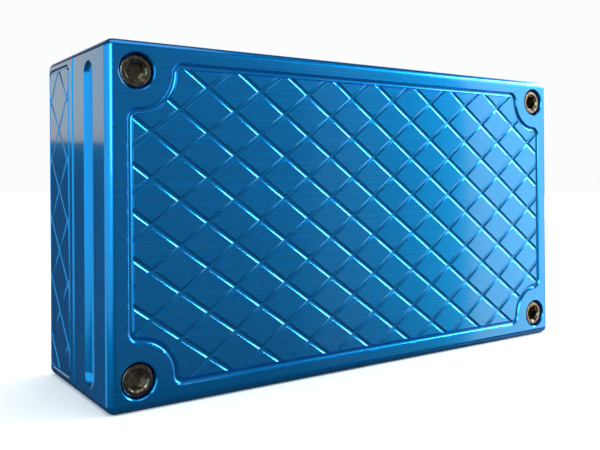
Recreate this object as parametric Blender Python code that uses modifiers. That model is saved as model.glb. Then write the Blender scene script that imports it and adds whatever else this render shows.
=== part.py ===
"""A small board computer in a two-piece milled heat-sink case, standing on one of its long edges.

Metres, +Z up. X runs along the case, -Y is the front with the four case screws, and the origin is the
middle of the footprint. The board's component side faces the front half, its ports face up, its card
slot faces +X and its pin header runs along the bottom.
"""

import math

import bmesh
import bpy
from mathutils import Matrix

# Case
CASE_WIDTH = 0.0724
CASE_DEPTH = 0.0220
CASE_HEIGHT = 0.0400
FRONT_HALF_DEPTH = 0.0116
EDGE_FILLET = 0.0010
PARTING_CHAMFER = 0.0003
FRONT_WALL = 0.0050
REAR_WALL = 0.0028
FIT_GAP = 0.0001
SKIN_OVERRUN = 0.0005

# Board, with its four holes
BOARD_LENGTH = 0.0650
BOARD_HEIGHT = 0.0300
BOARD_THICKNESS = 0.0014
BOARD_CORNER = 0.0030
BOARD_HOLE_RADIUS = 0.001375
BOARD_HOLE_SPAN_X = 0.0580
BOARD_HOLE_SPAN_Z = 0.0230
BOARD_FRONT_DEPTH = 0.0150
POCKET_CLEARANCE = 0.0005

# Case screws: 2-56 socket heads, 5/8 inch long
CASE_SCREW_INSET = 0.00337
CASE_SCREW_HEAD_RADIUS = 0.00178
CASE_SCREW_HEAD_HEIGHT = 0.00218
CASE_SCREW_HEX = 0.00198
CASE_SCREW_SHANK_RADIUS = 0.00109
CASE_SCREW_LENGTH = 0.01588
CASE_SCREW_RECESS = 0.0003
COUNTERBORE_RADIUS = 0.0020
COUNTERBORE_CHAMFER = 0.000125
CLEARANCE_HOLE_RADIUS = 0.00125

# Board screws: M2.5 button heads, 5 mm long
BOARD_SCREW_HEAD_RADIUS = 0.00225
BOARD_SCREW_HEAD_HEIGHT = 0.0014
BOARD_SCREW_HEX = 0.0015
BOARD_SCREW_SHANK_RADIUS = 0.0012
BOARD_SCREW_LENGTH = 0.0050
STANDOFF_RADIUS = 0.00275

# Ball-milled flute round the front half
FLUTE_RADIUS = 0.001984
FLUTE_DEPTH = 0.00076
FLUTE_FROM_FRONT = 0.0060
FLUTE_END_MARGIN = 0.0013

# Openings for plugs and the memory card
PLUG_WEB = 0.0014
RELIEF_CORNER = 0.0015
RELIEF_ARC_STEPS = 3
CARD_RELIEF = (0.0165, 0.0080)
CARD_WEB = 0.0010
WINDOW_MARGIN = 0.0005
LATCH_RELIEF = 0.0012

# Ports on the board: centre along X, the mouth's width and height, how deep the shell goes, how far it
# overhangs the board, the cut on its two corners, and the recess that a plug's body needs
SMALL_PORT = (0.0075, 0.0026, 0.0055, 0.0009, 0.0006, (0.0110, 0.0085))
VIDEO_PORT = (0.0112, 0.0032, 0.0075, 0.0007, 0.0009, (0.0155, 0.0100))
PORTS = {
    "data_port": (-0.0089, *SMALL_PORT),
    "power_port": (-0.0215, *SMALL_PORT),
    "video_port": (0.0201, *VIDEO_PORT),
}
SHELL_WALL = 0.0003

# Memory card and its slot
CARD_Z = 0.0181
CARD_LENGTH = 0.0150
CARD_WIDTH = 0.0110
CARD_THICKNESS = 0.0007
CARD_STICKS_OUT = 0.0022
CARD_CORNER = 0.0014
CARD_NICK = (0.0058, 0.0080, 0.0007)
SLOT_LENGTH = 0.0135
SLOT_WIDTH = 0.0124
SLOT_TALL = 0.0015

# Camera connector
CAMERA_WIDTH = 0.0168
CAMERA_DEEP = 0.0032
CAMERA_TALL = 0.0012
CAMERA_END_WALL = 0.0008
LATCH_BAR = 0.0009
LATCH_TONGUE = 0.0014

# Pin header
PIN_COLUMNS = 20
PIN_ROWS = 2
PIN_PITCH = 0.00254
PIN_SIDE = 0.00064
PIN_ABOVE_HOUSING = 0.0060
PIN_BELOW_BOARD = 0.0015
HEADER_FROM_EDGE = 0.0035

# Heat path
PROCESSOR_X = 0.0040
PROCESSOR_Z = 0.0205
PROCESSOR_SIDE = 0.0140
PROCESSOR_TALL = 0.0012
PAD_THICKNESS = 0.0008
PEDESTAL_SIDE = 0.0150

# Blocks soldered to the board: centre along X and Z, size along X, out of the board and along Z, how far
# the edges are bevelled, and the finish
BLOCKS = {
    "processor": (
        PROCESSOR_X,
        PROCESSOR_Z,
        (PROCESSOR_SIDE, PROCESSOR_TALL, PROCESSOR_SIDE),
        0.00015,
        "black_epoxy",
    ),
    "wireless_shield": (-0.0165, 0.0205, (0.0110, 0.0015, 0.0095), 0.0002, "tinned_steel"),
    "power_chip": (-0.0250, 0.0262, (0.0040, 0.0009, 0.0040), 0.0001, "black_epoxy"),
    "crystal": (-0.0070, 0.0145, (0.0032, 0.0008, 0.0025), 0.00015, "tinned_steel"),
    "status_led": (-0.0262, 0.0145, (0.0016, 0.0006, 0.0008), 0.0001, "clear_green_led"),
    "inductor_1": (-0.0208, 0.0275, (0.0028, 0.0012, 0.0026), 0.0002, "grey_ferrite"),
    "inductor_2": (-0.0170, 0.0275, (0.0028, 0.0012, 0.0026), 0.0002, "grey_ferrite"),
    "capacitor_1": (-0.0130, 0.0275, (0.0020, 0.0011, 0.0013), 0.00015, "tan_ceramic"),
    "capacitor_2": (-0.0065, 0.0270, (0.0020, 0.0011, 0.0013), 0.00015, "tan_ceramic"),
    "capacitor_3": (0.0130, 0.0262, (0.0020, 0.0011, 0.0013), 0.00015, "tan_ceramic"),
    "capacitor_4": (0.0145, 0.0150, (0.0020, 0.0011, 0.0013), 0.00015, "tan_ceramic"),
}

ROUND_STEPS = 24
SMALL_ROUND_STEPS = 16
CORNER_ARC_STEPS = 4
SHARP_ANGLE = math.radians(35)

# Places along Y that the pieces share
FRONT_Y = -CASE_DEPTH / 2
REAR_Y = CASE_DEPTH / 2
PARTING_Y = FRONT_Y + FRONT_HALF_DEPTH
FRONT_FLOOR_Y = FRONT_Y + FRONT_WALL
REAR_FLOOR_Y = REAR_Y - REAR_WALL
BOARD_Y = FRONT_Y + BOARD_FRONT_DEPTH
BOARD_BACK_Y = BOARD_Y + BOARD_THICKNESS
SEAT_Y = BOARD_Y - FIT_GAP
MIDDLE_Z = CASE_HEIGHT / 2
BOARD_TOP_Z = MIDDLE_Z + BOARD_HEIGHT / 2
BOARD_LOW_Z = MIDDLE_Z - BOARD_HEIGHT / 2
POCKET_WIDTH = BOARD_LENGTH + 2 * POCKET_CLEARANCE
POCKET_HEIGHT = BOARD_HEIGHT + 2 * POCKET_CLEARANCE
POCKET_CORNER = BOARD_CORNER + POCKET_CLEARANCE / 2

# A local Z that points out of the front, up, or out of the right end
FACING_FRONT = (math.pi / 2, 0, 0)
FACING_UP = (0, 0, 0)
FACING_RIGHT = (0, math.pi / 2, 0)

FINISHES = {
    "anodised_aluminium": ((0.005, 0.16, 0.42), 0.32, 1.0),
    "black_oxide_steel": ((0.10, 0.075, 0.055), 0.35, 1.0),
    "stainless_steel": ((0.55, 0.55, 0.53), 0.30, 1.0),
    "circuit_board": ((0.01, 0.09, 0.03), 0.45, 0.0),
    "black_epoxy": ((0.02, 0.02, 0.022), 0.55, 0.0),
    "grey_silicone": ((0.32, 0.34, 0.36), 0.80, 0.0),
    "tinned_steel": ((0.60, 0.60, 0.58), 0.25, 1.0),
    "black_plastic": ((0.015, 0.015, 0.016), 0.50, 0.0),
    "cream_plastic": ((0.72, 0.66, 0.50), 0.50, 0.0),
    "tan_ceramic": ((0.45, 0.33, 0.20), 0.50, 0.0),
    "grey_ferrite": ((0.14, 0.14, 0.15), 0.60, 0.0),
    "clear_green_led": ((0.35, 0.85, 0.40), 0.20, 0.0),
}


def clear_scene():
    for obj in list(bpy.data.objects):
        bpy.data.objects.remove(obj, do_unlink=True)


def new_collection(name, parent):
    collection = bpy.data.collections.new(name)
    parent.children.link(collection)
    return collection


clear_scene()
parts = new_collection("board_computer_in_case", bpy.context.scene.collection)
cutters = new_collection("cutters", bpy.context.scene.collection)


def finish(obj, kind):
    """Gives the piece a material of its own, in one of the finishes above."""
    colour, roughness, metallic = FINISHES[kind]
    material = bpy.data.materials.new(f"{obj.name}_{kind}")
    material.use_nodes = True
    shader = material.node_tree.nodes["Principled BSDF"]
    shader.inputs["Base Color"].default_value = (*colour, 1)
    shader.inputs["Roughness"].default_value = roughness
    shader.inputs["Metallic"].default_value = metallic
    material.diffuse_color = (*colour, 1)
    obj.data.materials.clear()
    obj.data.materials.append(material)


def smooth(mesh):
    mesh.shade_smooth()
    mesh.set_sharp_from_angle(angle=SHARP_ANGLE)


def place(name, mesh, location, rotation, kind):
    """Adds a piece of the object."""
    obj = bpy.data.objects.new(name, mesh)
    parts.objects.link(obj)
    obj.location = location
    obj.rotation_euler = rotation
    finish(obj, kind)
    return obj


def helper(name, mesh, location, rotation, collection):
    """Adds a shape that only cuts or joins a piece."""
    obj = bpy.data.objects.new(name, mesh)
    collection.objects.link(obj)
    obj.location = location
    obj.rotation_euler = rotation
    obj.hide_render = True
    obj.display_type = "WIRE"
    return obj


def mesh_from(name, bm):
    mesh = bpy.data.meshes.new(name)
    bmesh.ops.recalc_face_normals(bm, faces=bm.faces)
    bm.to_mesh(mesh)
    bm.free()
    return mesh


def box_mesh(name, size, bevel=0.0, segments=1):
    """A box centred on its origin, with every edge bevelled where bevel isn't 0."""
    bm = bmesh.new()
    bmesh.ops.create_cube(bm, size=1)
    bmesh.ops.scale(bm, vec=size, verts=bm.verts)
    if bevel:
        bmesh.ops.bevel(bm, geom=bm.edges, offset=bevel, segments=segments, profile=0.5, affect="EDGES")
    return mesh_from(name, bm)


def cylinder_mesh(name, radius, length, steps):
    """A cylinder along local Z, centred on its origin."""
    bm = bmesh.new()
    bmesh.ops.create_cone(bm, cap_ends=True, segments=steps, radius1=radius, radius2=radius, depth=length)
    mesh = mesh_from(name, bm)
    smooth(mesh)
    return mesh


def capsule_mesh(name, radius, length):
    """A ball stretched along local Z, as a ball-nosed cutter sweeps it."""
    bm = bmesh.new()
    bmesh.ops.create_uvsphere(bm, u_segments=ROUND_STEPS, v_segments=10, radius=radius)
    reach = length / 2 - radius
    for vert in bm.verts:
        if abs(vert.co.z) < radius / 100:
            continue
        vert.co.z += math.copysign(reach, vert.co.z)
    return mesh_from(name, bm)


def baked_mesh(name, obj):
    """The object's evaluated shape as a plain mesh with its loose caps welded. The object is removed."""
    bpy.context.view_layer.update()
    graph = bpy.context.evaluated_depsgraph_get()
    mesh = bpy.data.meshes.new_from_object(obj.evaluated_get(graph))
    mesh.name = name
    bpy.data.objects.remove(obj, do_unlink=True)
    bm = bmesh.new()
    bm.from_mesh(mesh)
    bmesh.ops.remove_doubles(bm, verts=bm.verts, dist=1e-7)
    bmesh.ops.recalc_face_normals(bm, faces=bm.faces)
    bm.to_mesh(mesh)
    bm.free()
    return mesh


def prism_mesh(name, outline, thickness, holes=()):
    """A flat outline in local X and Y with thickness along local Z, centred on its origin."""
    curve = bpy.data.curves.new(name, "CURVE")
    curve.dimensions = "2D"
    curve.fill_mode = "BOTH"
    curve.extrude = thickness / 2
    for points in (outline, *holes):
        spline = curve.splines.new("POLY")
        spline.points.add(len(points) - 1)
        for spline_point, (x, y) in zip(spline.points, points):
            spline_point.co = (x, y, 0, 1)
        spline.use_cyclic_u = True
    guide = helper(name, curve, (0, 0, 0), FACING_UP, cutters)
    return baked_mesh(name, guide)


def arc(centre, radius, start, end, steps):
    """Points from one angle in degrees to another, both ends included."""
    points = []
    for step in range(steps + 1):
        angle = math.radians(start + (end - start) * step / steps)
        points.append((centre[0] + radius * math.cos(angle), centre[1] + radius * math.sin(angle)))
    return points


def rounded_rectangle(width, height, radius, steps):
    points = []
    for quarter, (sign_x, sign_y) in enumerate(((1, 1), (-1, 1), (-1, -1), (1, -1))):
        centre = (sign_x * (width / 2 - radius), sign_y * (height / 2 - radius))
        points += arc(centre, radius, 90 * quarter, 90 * quarter + 90, steps)
    return points


def rectangle(width, height, centre=(0, 0)):
    return [
        (centre[0] + sign_x * width / 2, centre[1] + sign_y * height / 2)
        for sign_x, sign_y in ((1, 1), (-1, 1), (-1, -1), (1, -1))
    ]


def circle(centre, radius, steps):
    return arc(centre, radius, 0, 360, steps)[:-1]


def turned_object(name, profile, steps):
    """A profile of (radius, height), top to bottom, turned about local Z."""
    mesh = bpy.data.meshes.new(name)
    edges = [(index, index + 1) for index in range(len(profile) - 1)]
    mesh.from_pydata([(radius, 0, height) for radius, height in profile], edges, [])
    obj = helper(name, mesh, (0, 0, 0), FACING_UP, cutters)
    turn = obj.modifiers.new("turn", "SCREW")
    turn.axis = "Z"
    turn.angle = 2 * math.pi
    turn.steps = steps
    turn.render_steps = steps
    turn.use_merge_vertices = True
    turn.merge_threshold = 1e-6
    return obj


def boolean(obj, operation, operand):
    """Joins or cuts the piece with one object, or with every object of a collection."""
    modifier = obj.modifiers.new(operation.lower(), "BOOLEAN")
    modifier.operation = operation
    modifier.solver = "EXACT"
    if isinstance(operand, bpy.types.Collection):
        modifier.operand_type = "COLLECTION"
        modifier.collection = operand
    else:
        modifier.object = operand
    return modifier


def case_corners():
    """X, Z of the four case screws."""
    for sign_z in (1, -1):
        for sign_x in (-1, 1):
            yield (
                sign_x * (CASE_WIDTH / 2 - CASE_SCREW_INSET),
                MIDDLE_Z + sign_z * (CASE_HEIGHT / 2 - CASE_SCREW_INSET),
            )


def board_corners():
    """X, Z of the board's four holes."""
    for sign_z in (1, -1):
        for sign_x in (-1, 1):
            yield (sign_x * BOARD_HOLE_SPAN_X / 2, MIDDLE_Z + sign_z * BOARD_HOLE_SPAN_Z / 2)


def header_pins():
    """X, Z of the pins of the header."""
    middle = BOARD_LOW_Z + HEADER_FROM_EDGE
    for row in range(PIN_ROWS):
        for column in range(PIN_COLUMNS):
            yield (
                (column - (PIN_COLUMNS - 1) / 2) * PIN_PITCH,
                middle + (row - (PIN_ROWS - 1) / 2) * PIN_PITCH,
            )


# Case halves


def case_block(name, outer_y):
    """The outside of one half: round edges, and a small chamfer where the halves meet."""
    depth = abs(outer_y - PARTING_Y) - FIT_GAP / 2
    side = math.copysign(1, outer_y - PARTING_Y)
    bm = bmesh.new()
    bmesh.ops.create_cube(bm, size=1)
    bmesh.ops.scale(bm, vec=(CASE_WIDTH, depth, CASE_HEIGHT), verts=bm.verts)
    meeting = -side * depth / 2

    def at_meeting(edge):
        return all(abs(vert.co.y - meeting) < EDGE_FILLET / 10 for vert in edge.verts)

    outer = [edge for edge in bm.edges if not at_meeting(edge)]
    bmesh.ops.bevel(bm, geom=outer, offset=EDGE_FILLET, segments=3, profile=0.5, affect="EDGES")
    rim = [edge for edge in bm.edges if at_meeting(edge)]
    bmesh.ops.bevel(bm, geom=rim, offset=PARTING_CHAMFER, segments=1, profile=0.5, affect="EDGES")
    return helper(name, mesh_from(name, bm), (0, outer_y - side * depth / 2, MIDDLE_Z), FACING_UP, cutters)


def place_case_half(name, shape):
    """Turns the cut and joined shape into the finished half, with its origin on the footprint's middle."""
    to_world = Matrix.Translation(shape.location)
    mesh = baked_mesh(name, shape)
    mesh.transform(to_world)
    smooth(mesh)
    place(name, mesh, (0, 0, 0), FACING_UP, "anodised_aluminium")


def cut_pocket(name, floor_y, past_y, collection):
    """The pocket that the board lies in, from a half's floor to past where the halves meet."""
    outline = rounded_rectangle(POCKET_WIDTH, POCKET_HEIGHT, POCKET_CORNER, CORNER_ARC_STEPS)
    mesh = prism_mesh(name, outline, abs(past_y - floor_y))
    helper(name, mesh, (0, (floor_y + past_y) / 2, MIDDLE_Z), FACING_FRONT, collection)


def cut_box(name, low, high, collection):
    """A box between two corners."""
    size = [end - start for start, end in zip(low, high)]
    centre = [(start + end) / 2 for start, end in zip(low, high)]
    helper(name, box_mesh(name, size), centre, FACING_UP, collection)


def cut_reliefs(prefix, collection):
    """Recesses in the outside, which let a plug's body or a fingertip come close to its connector."""
    top = MIDDLE_Z + CASE_HEIGHT / 2
    floor = BOARD_TOP_Z + POCKET_CLEARANCE + PLUG_WEB
    end = top + SKIN_OVERRUN
    for port_name, (x, _, tall, _, _, _, (width, height)) in PORTS.items():
        outline = rounded_rectangle(width, height, RELIEF_CORNER, RELIEF_ARC_STEPS)
        mesh = prism_mesh(f"{prefix}_{port_name}_relief", outline, end - floor)
        helper(mesh.name, mesh, (x, SEAT_Y - tall / 2, (floor + end) / 2), FACING_UP, collection)
    floor = POCKET_WIDTH / 2 + CARD_WEB
    end = CASE_WIDTH / 2 + SKIN_OVERRUN
    outline = rounded_rectangle(*CARD_RELIEF, RELIEF_CORNER, RELIEF_ARC_STEPS)
    mesh = prism_mesh(f"{prefix}_card_relief", outline, end - floor)
    centre = ((floor + end) / 2, SEAT_Y - SLOT_TALL / 2, CARD_Z)
    helper(mesh.name, mesh, centre, FACING_RIGHT, collection)


def cut_flutes(collection):
    """Ball-milled flutes, one along each side of the front half."""
    outward = FLUTE_RADIUS - FLUTE_DEPTH
    y = FRONT_Y + FLUTE_FROM_FRONT
    tall = capsule_mesh("end_flute", FLUTE_RADIUS, CASE_HEIGHT - 2 * FLUTE_END_MARGIN)
    long = capsule_mesh("side_flute", FLUTE_RADIUS, CASE_WIDTH - 2 * FLUTE_END_MARGIN)
    for sign in (-1, 1):
        x = sign * (CASE_WIDTH / 2 + outward)
        helper("end_flute", tall, (x, y, MIDDLE_Z), FACING_UP, collection)
        z = MIDDLE_Z + sign * (CASE_HEIGHT / 2 + outward)
        helper("side_flute", long, (0, y, z), FACING_RIGHT, collection)


def cut_screw_bores(collection):
    """A chamfered counterbore and a clearance hole for each case screw, straight through the front half."""
    seat = -(CASE_SCREW_RECESS + CASE_SCREW_HEAD_HEIGHT + FIT_GAP)
    past = -(FRONT_HALF_DEPTH + SKIN_OVERRUN)
    mouth = COUNTERBORE_RADIUS + COUNTERBORE_CHAMFER + SKIN_OVERRUN
    profile = (
        (0, SKIN_OVERRUN),
        (mouth, SKIN_OVERRUN),
        (COUNTERBORE_RADIUS, -COUNTERBORE_CHAMFER),
        (COUNTERBORE_RADIUS, seat),
        (CLEARANCE_HOLE_RADIUS, seat),
        (CLEARANCE_HOLE_RADIUS, past),
        (0, past),
    )
    mesh = baked_mesh("screw_bore", turned_object("screw_bore", profile, ROUND_STEPS))
    for x, z in case_corners():
        helper("screw_bore", mesh, (x, FRONT_Y, z), FACING_FRONT, collection)


def front_case_half():
    """The front half: pocket, plug recesses, flutes, screw bores and the pedestal that draws the heat off."""
    half = case_block("front_shape", FRONT_Y)
    hollows = new_collection("front_hollows", cutters)
    cut_pocket("front_pocket", FRONT_FLOOR_Y, PARTING_Y + SKIN_OVERRUN, hollows)
    cut_reliefs("front", hollows)
    cut_flutes(hollows)
    cut_screw_bores(hollows)
    boolean(half, "DIFFERENCE", hollows)
    top_y = SEAT_Y - PROCESSOR_TALL - PAD_THICKNESS - 2 * FIT_GAP
    root_y = FRONT_FLOOR_Y - SKIN_OVERRUN
    size = (PEDESTAL_SIDE, top_y - root_y, PEDESTAL_SIDE)
    mesh = box_mesh("pedestal", size)
    pedestal = helper("pedestal", mesh, (PROCESSOR_X, (top_y + root_y) / 2, PROCESSOR_Z), FACING_UP, cutters)
    boolean(half, "UNION", pedestal)
    place_case_half("front_case_half", half)


def rear_case_half():
    """The rear half: pocket, standoffs, tapped holes and the windows for the plugs and the card."""
    half = case_block("rear_shape", REAR_Y)
    hollows = new_collection("rear_hollows", cutters)
    cut_pocket("rear_pocket", REAR_FLOOR_Y, PARTING_Y - SKIN_OVERRUN, hollows)
    cut_reliefs("rear", hollows)
    low_y = PARTING_Y - SKIN_OVERRUN
    high_y = BOARD_Y + 3 * FIT_GAP
    wall_z = BOARD_TOP_Z + POCKET_CLEARANCE
    for port_name, (x, width, *_) in PORTS.items():
        reach = width / 2 + WINDOW_MARGIN
        low = (x - reach, low_y, wall_z - SKIN_OVERRUN)
        high = (x + reach, high_y, wall_z + PLUG_WEB + SKIN_OVERRUN)
        cut_box(f"{port_name}_window", low, high, hollows)
    wall_x = POCKET_WIDTH / 2
    reach = SLOT_WIDTH / 2 + WINDOW_MARGIN
    low = (wall_x - SKIN_OVERRUN, low_y, CARD_Z - reach)
    high = (wall_x + CARD_WEB + SKIN_OVERRUN, high_y, CARD_Z + reach)
    cut_box("card_window", low, high, hollows)
    reach = CAMERA_WIDTH / 2 + 2 * WINDOW_MARGIN
    low = (-wall_x - LATCH_RELIEF, low_y, MIDDLE_Z - reach)
    high = (-wall_x + SKIN_OVERRUN, high_y, MIDDLE_Z + reach)
    cut_box("latch_relief", low, high, hollows)
    boolean(half, "DIFFERENCE", hollows)

    standoffs = new_collection("standoffs", cutters)
    top_y = BOARD_BACK_Y + FIT_GAP
    root_y = REAR_FLOOR_Y + SKIN_OVERRUN
    mesh = cylinder_mesh("standoff", STANDOFF_RADIUS, root_y - top_y, ROUND_STEPS)
    for x, z in board_corners():
        helper("standoff", mesh, (x, (top_y + root_y) / 2, z), FACING_FRONT, standoffs)
    boolean(half, "UNION", standoffs)

    tapped = new_collection("tapped_holes", cutters)
    deepest = FRONT_Y + CASE_SCREW_RECESS + CASE_SCREW_HEAD_HEIGHT + CASE_SCREW_LENGTH + 5 * FIT_GAP
    mesh = cylinder_mesh("case_tap", CASE_SCREW_SHANK_RADIUS + FIT_GAP, deepest - low_y, SMALL_ROUND_STEPS)
    for x, z in case_corners():
        helper("case_tap", mesh, (x, (deepest + low_y) / 2, z), FACING_FRONT, tapped)
    deepest = SEAT_Y + BOARD_SCREW_LENGTH + 3 * FIT_GAP
    start = BOARD_BACK_Y - SKIN_OVERRUN
    mesh = cylinder_mesh("board_tap", BOARD_SCREW_SHANK_RADIUS + FIT_GAP, deepest - start, SMALL_ROUND_STEPS)
    for x, z in board_corners():
        helper("board_tap", mesh, (x, (deepest + start) / 2, z), FACING_FRONT, tapped)
    boolean(half, "DIFFERENCE", tapped)
    place_case_half("rear_case_half", half)


# Screws


def socket_screw_mesh(name, head_radius, head_height, shank_radius, length, hexagon, steps):
    """A screw with its head's top at the origin, its shank down local Z, and a hexagon socket."""
    chamfer = head_height / 10
    bottom = -(head_height + length)
    profile = (
        (0, 0),
        (head_radius - chamfer, 0),
        (head_radius, -chamfer),
        (head_radius, -head_height),
        (shank_radius, -head_height),
        (shank_radius, bottom + chamfer),
        (shank_radius - chamfer, bottom),
        (0, bottom),
    )
    screw = turned_object(name, profile, steps)
    depth = head_height / 2
    socket = cylinder_mesh(f"{name}_socket", hexagon / math.sqrt(3), 2 * depth, 6)
    boolean(screw, "DIFFERENCE", helper(f"{name}_socket", socket, (0, 0, 0), FACING_UP, cutters))
    mesh = baked_mesh(name, screw)
    smooth(mesh)
    return mesh


def case_screws():
    mesh = socket_screw_mesh(
        "case_screw",
        CASE_SCREW_HEAD_RADIUS,
        CASE_SCREW_HEAD_HEIGHT,
        CASE_SCREW_SHANK_RADIUS,
        CASE_SCREW_LENGTH,
        CASE_SCREW_HEX,
        ROUND_STEPS,
    )
    for number, (x, z) in enumerate(case_corners(), 1):
        location = (x, FRONT_Y + CASE_SCREW_RECESS, z)
        place(f"case_screw_{number}", mesh.copy(), location, FACING_FRONT, "black_oxide_steel")


def board_screws():
    mesh = socket_screw_mesh(
        "board_screw",
        BOARD_SCREW_HEAD_RADIUS,
        BOARD_SCREW_HEAD_HEIGHT,
        BOARD_SCREW_SHANK_RADIUS,
        BOARD_SCREW_LENGTH,
        BOARD_SCREW_HEX,
        SMALL_ROUND_STEPS,
    )
    for number, (x, z) in enumerate(board_corners(), 1):
        location = (x, SEAT_Y - BOARD_SCREW_HEAD_HEIGHT, z)
        place(f"board_screw_{number}", mesh.copy(), location, FACING_FRONT, "stainless_steel")


# Board and the pieces soldered to it


def main_board():
    """The bare board, with its four screw holes and a square hole for each pin of the header."""
    holes = [
        circle((x, z - MIDDLE_Z), BOARD_HOLE_RADIUS, SMALL_ROUND_STEPS) for x, z in board_corners()
    ]
    side = PIN_SIDE + 2 * FIT_GAP
    holes += [rectangle(side, side, (x, z - MIDDLE_Z)) for x, z in header_pins()]
    outline = rounded_rectangle(BOARD_LENGTH, BOARD_HEIGHT, BOARD_CORNER, CORNER_ARC_STEPS)
    mesh = prism_mesh("main_board", outline, BOARD_THICKNESS, holes)
    place("main_board", mesh, (0, (BOARD_Y + BOARD_BACK_Y) / 2, MIDDLE_Z), FACING_FRONT, "circuit_board")


def board_blocks():
    """Chips, coils and other small blocks."""
    for name, (x, z, size, bevel, kind) in BLOCKS.items():
        place(name, box_mesh(name, size, bevel), (x, SEAT_Y - size[1] / 2, z), FACING_UP, kind)


def thermal_pad():
    """The soft pad squeezed between the processor and the front half's pedestal."""
    y = SEAT_Y - PROCESSOR_TALL - FIT_GAP - PAD_THICKNESS / 2
    mesh = box_mesh("thermal_pad", (PROCESSOR_SIDE, PAD_THICKNESS, PROCESSOR_SIDE))
    place("thermal_pad", mesh, (PROCESSOR_X, y, PROCESSOR_Z), FACING_UP, "grey_silicone")


def mouth_outline(width, tall, cut, inset=0.0):
    """A connector's mouth in X and Y: a rectangle whose two corners near the board are cut off."""
    x = width / 2 - inset
    y = tall / 2 - inset
    return [(x, -y), (x, y - cut), (x - cut, y), (-x + cut, y), (-x, y - cut), (-x, -y)]


def port(name, x, width, tall, deep, overhang, cut):
    """A port that faces up: a folded metal shell, and the plastic core that carries the contacts."""
    mouth_z = BOARD_TOP_Z + overhang
    y = SEAT_Y - tall / 2
    shell_mesh = prism_mesh(f"{name}_shell", mouth_outline(width, tall, cut), deep)
    shell = place(f"{name}_shell", shell_mesh, (x, y, mouth_z - deep / 2), FACING_UP, "tinned_steel")
    back_wall = SHELL_WALL
    hollow_deep = deep - back_wall + SKIN_OVERRUN
    hollow = prism_mesh(f"{name}_hollow", mouth_outline(width, tall, cut, SHELL_WALL), hollow_deep)
    centre = (x, y, mouth_z + SKIN_OVERRUN - hollow_deep / 2)
    boolean(shell, "DIFFERENCE", helper(f"{name}_hollow", hollow, centre, FACING_UP, cutters))

    base_deep = deep / 4
    base_width = width - 2 * cut - 2 * SHELL_WALL
    base_tall = tall - 2 * SHELL_WALL - 2 * FIT_GAP
    base_z = mouth_z - deep + back_wall + FIT_GAP + base_deep / 2
    core = place(
        f"{name}_core",
        box_mesh(f"{name}_core", (base_width, base_tall, base_deep)),
        (x, y, base_z),
        FACING_UP,
        "black_plastic",
    )
    tongue_tall = tall / 4
    tongue_top = mouth_z - deep / 10
    tongue_low = base_z
    size = (base_width * 0.85, tongue_tall, tongue_top - tongue_low)
    tongue = box_mesh(f"{name}_tongue", size)
    centre = (x, y, (tongue_top + tongue_low) / 2)
    boolean(core, "UNION", helper(f"{name}_tongue", tongue, centre, FACING_UP, cutters))


def card_slot_and_card():
    """The memory card's slot, open to +X, and the card in it, which slides out along X."""
    mouth_x = BOARD_LENGTH / 2 - FIT_GAP
    y = SEAT_Y - SLOT_TALL / 2
    size = (SLOT_LENGTH, SLOT_TALL, SLOT_WIDTH)
    slot = place(
        "card_slot",
        box_mesh("card_slot", size),
        (mouth_x - SLOT_LENGTH / 2, y, CARD_Z),
        FACING_UP,
        "tinned_steel",
    )
    hollow_tall = CARD_THICKNESS + 2 * FIT_GAP
    hollow_width = CARD_WIDTH + 3 * FIT_GAP
    low = (mouth_x - SLOT_LENGTH + SHELL_WALL, y - hollow_tall / 2, CARD_Z - hollow_width / 2)
    high = (mouth_x + SKIN_OVERRUN, y + hollow_tall / 2, CARD_Z + hollow_width / 2)
    hollows = new_collection("slot_hollow", cutters)
    cut_box("slot_hollow", low, high, hollows)
    boolean(slot, "DIFFERENCE", hollows)

    # The outline's X is the card's length: a corner cut off at the inner end, and a nick in the long edge.
    inner = -CARD_LENGTH / 2
    side = -CARD_WIDTH / 2
    nick_start, nick_end, nick_depth = CARD_NICK
    outline = [
        (-inner, -side),
        (inner, -side),
        (inner, side + CARD_CORNER),
        (inner + CARD_CORNER, side),
        (inner + nick_start, side),
        (inner + nick_start + nick_depth, side + nick_depth),
        (inner + nick_end, side + nick_depth),
        (inner + nick_end, side),
        (-inner, side),
    ]
    mesh = prism_mesh("memory_card", outline, CARD_THICKNESS)
    x = BOARD_LENGTH / 2 + CARD_STICKS_OUT - CARD_LENGTH / 2
    place("memory_card", mesh, (x, y, CARD_Z), FACING_FRONT, "black_plastic")


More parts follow.
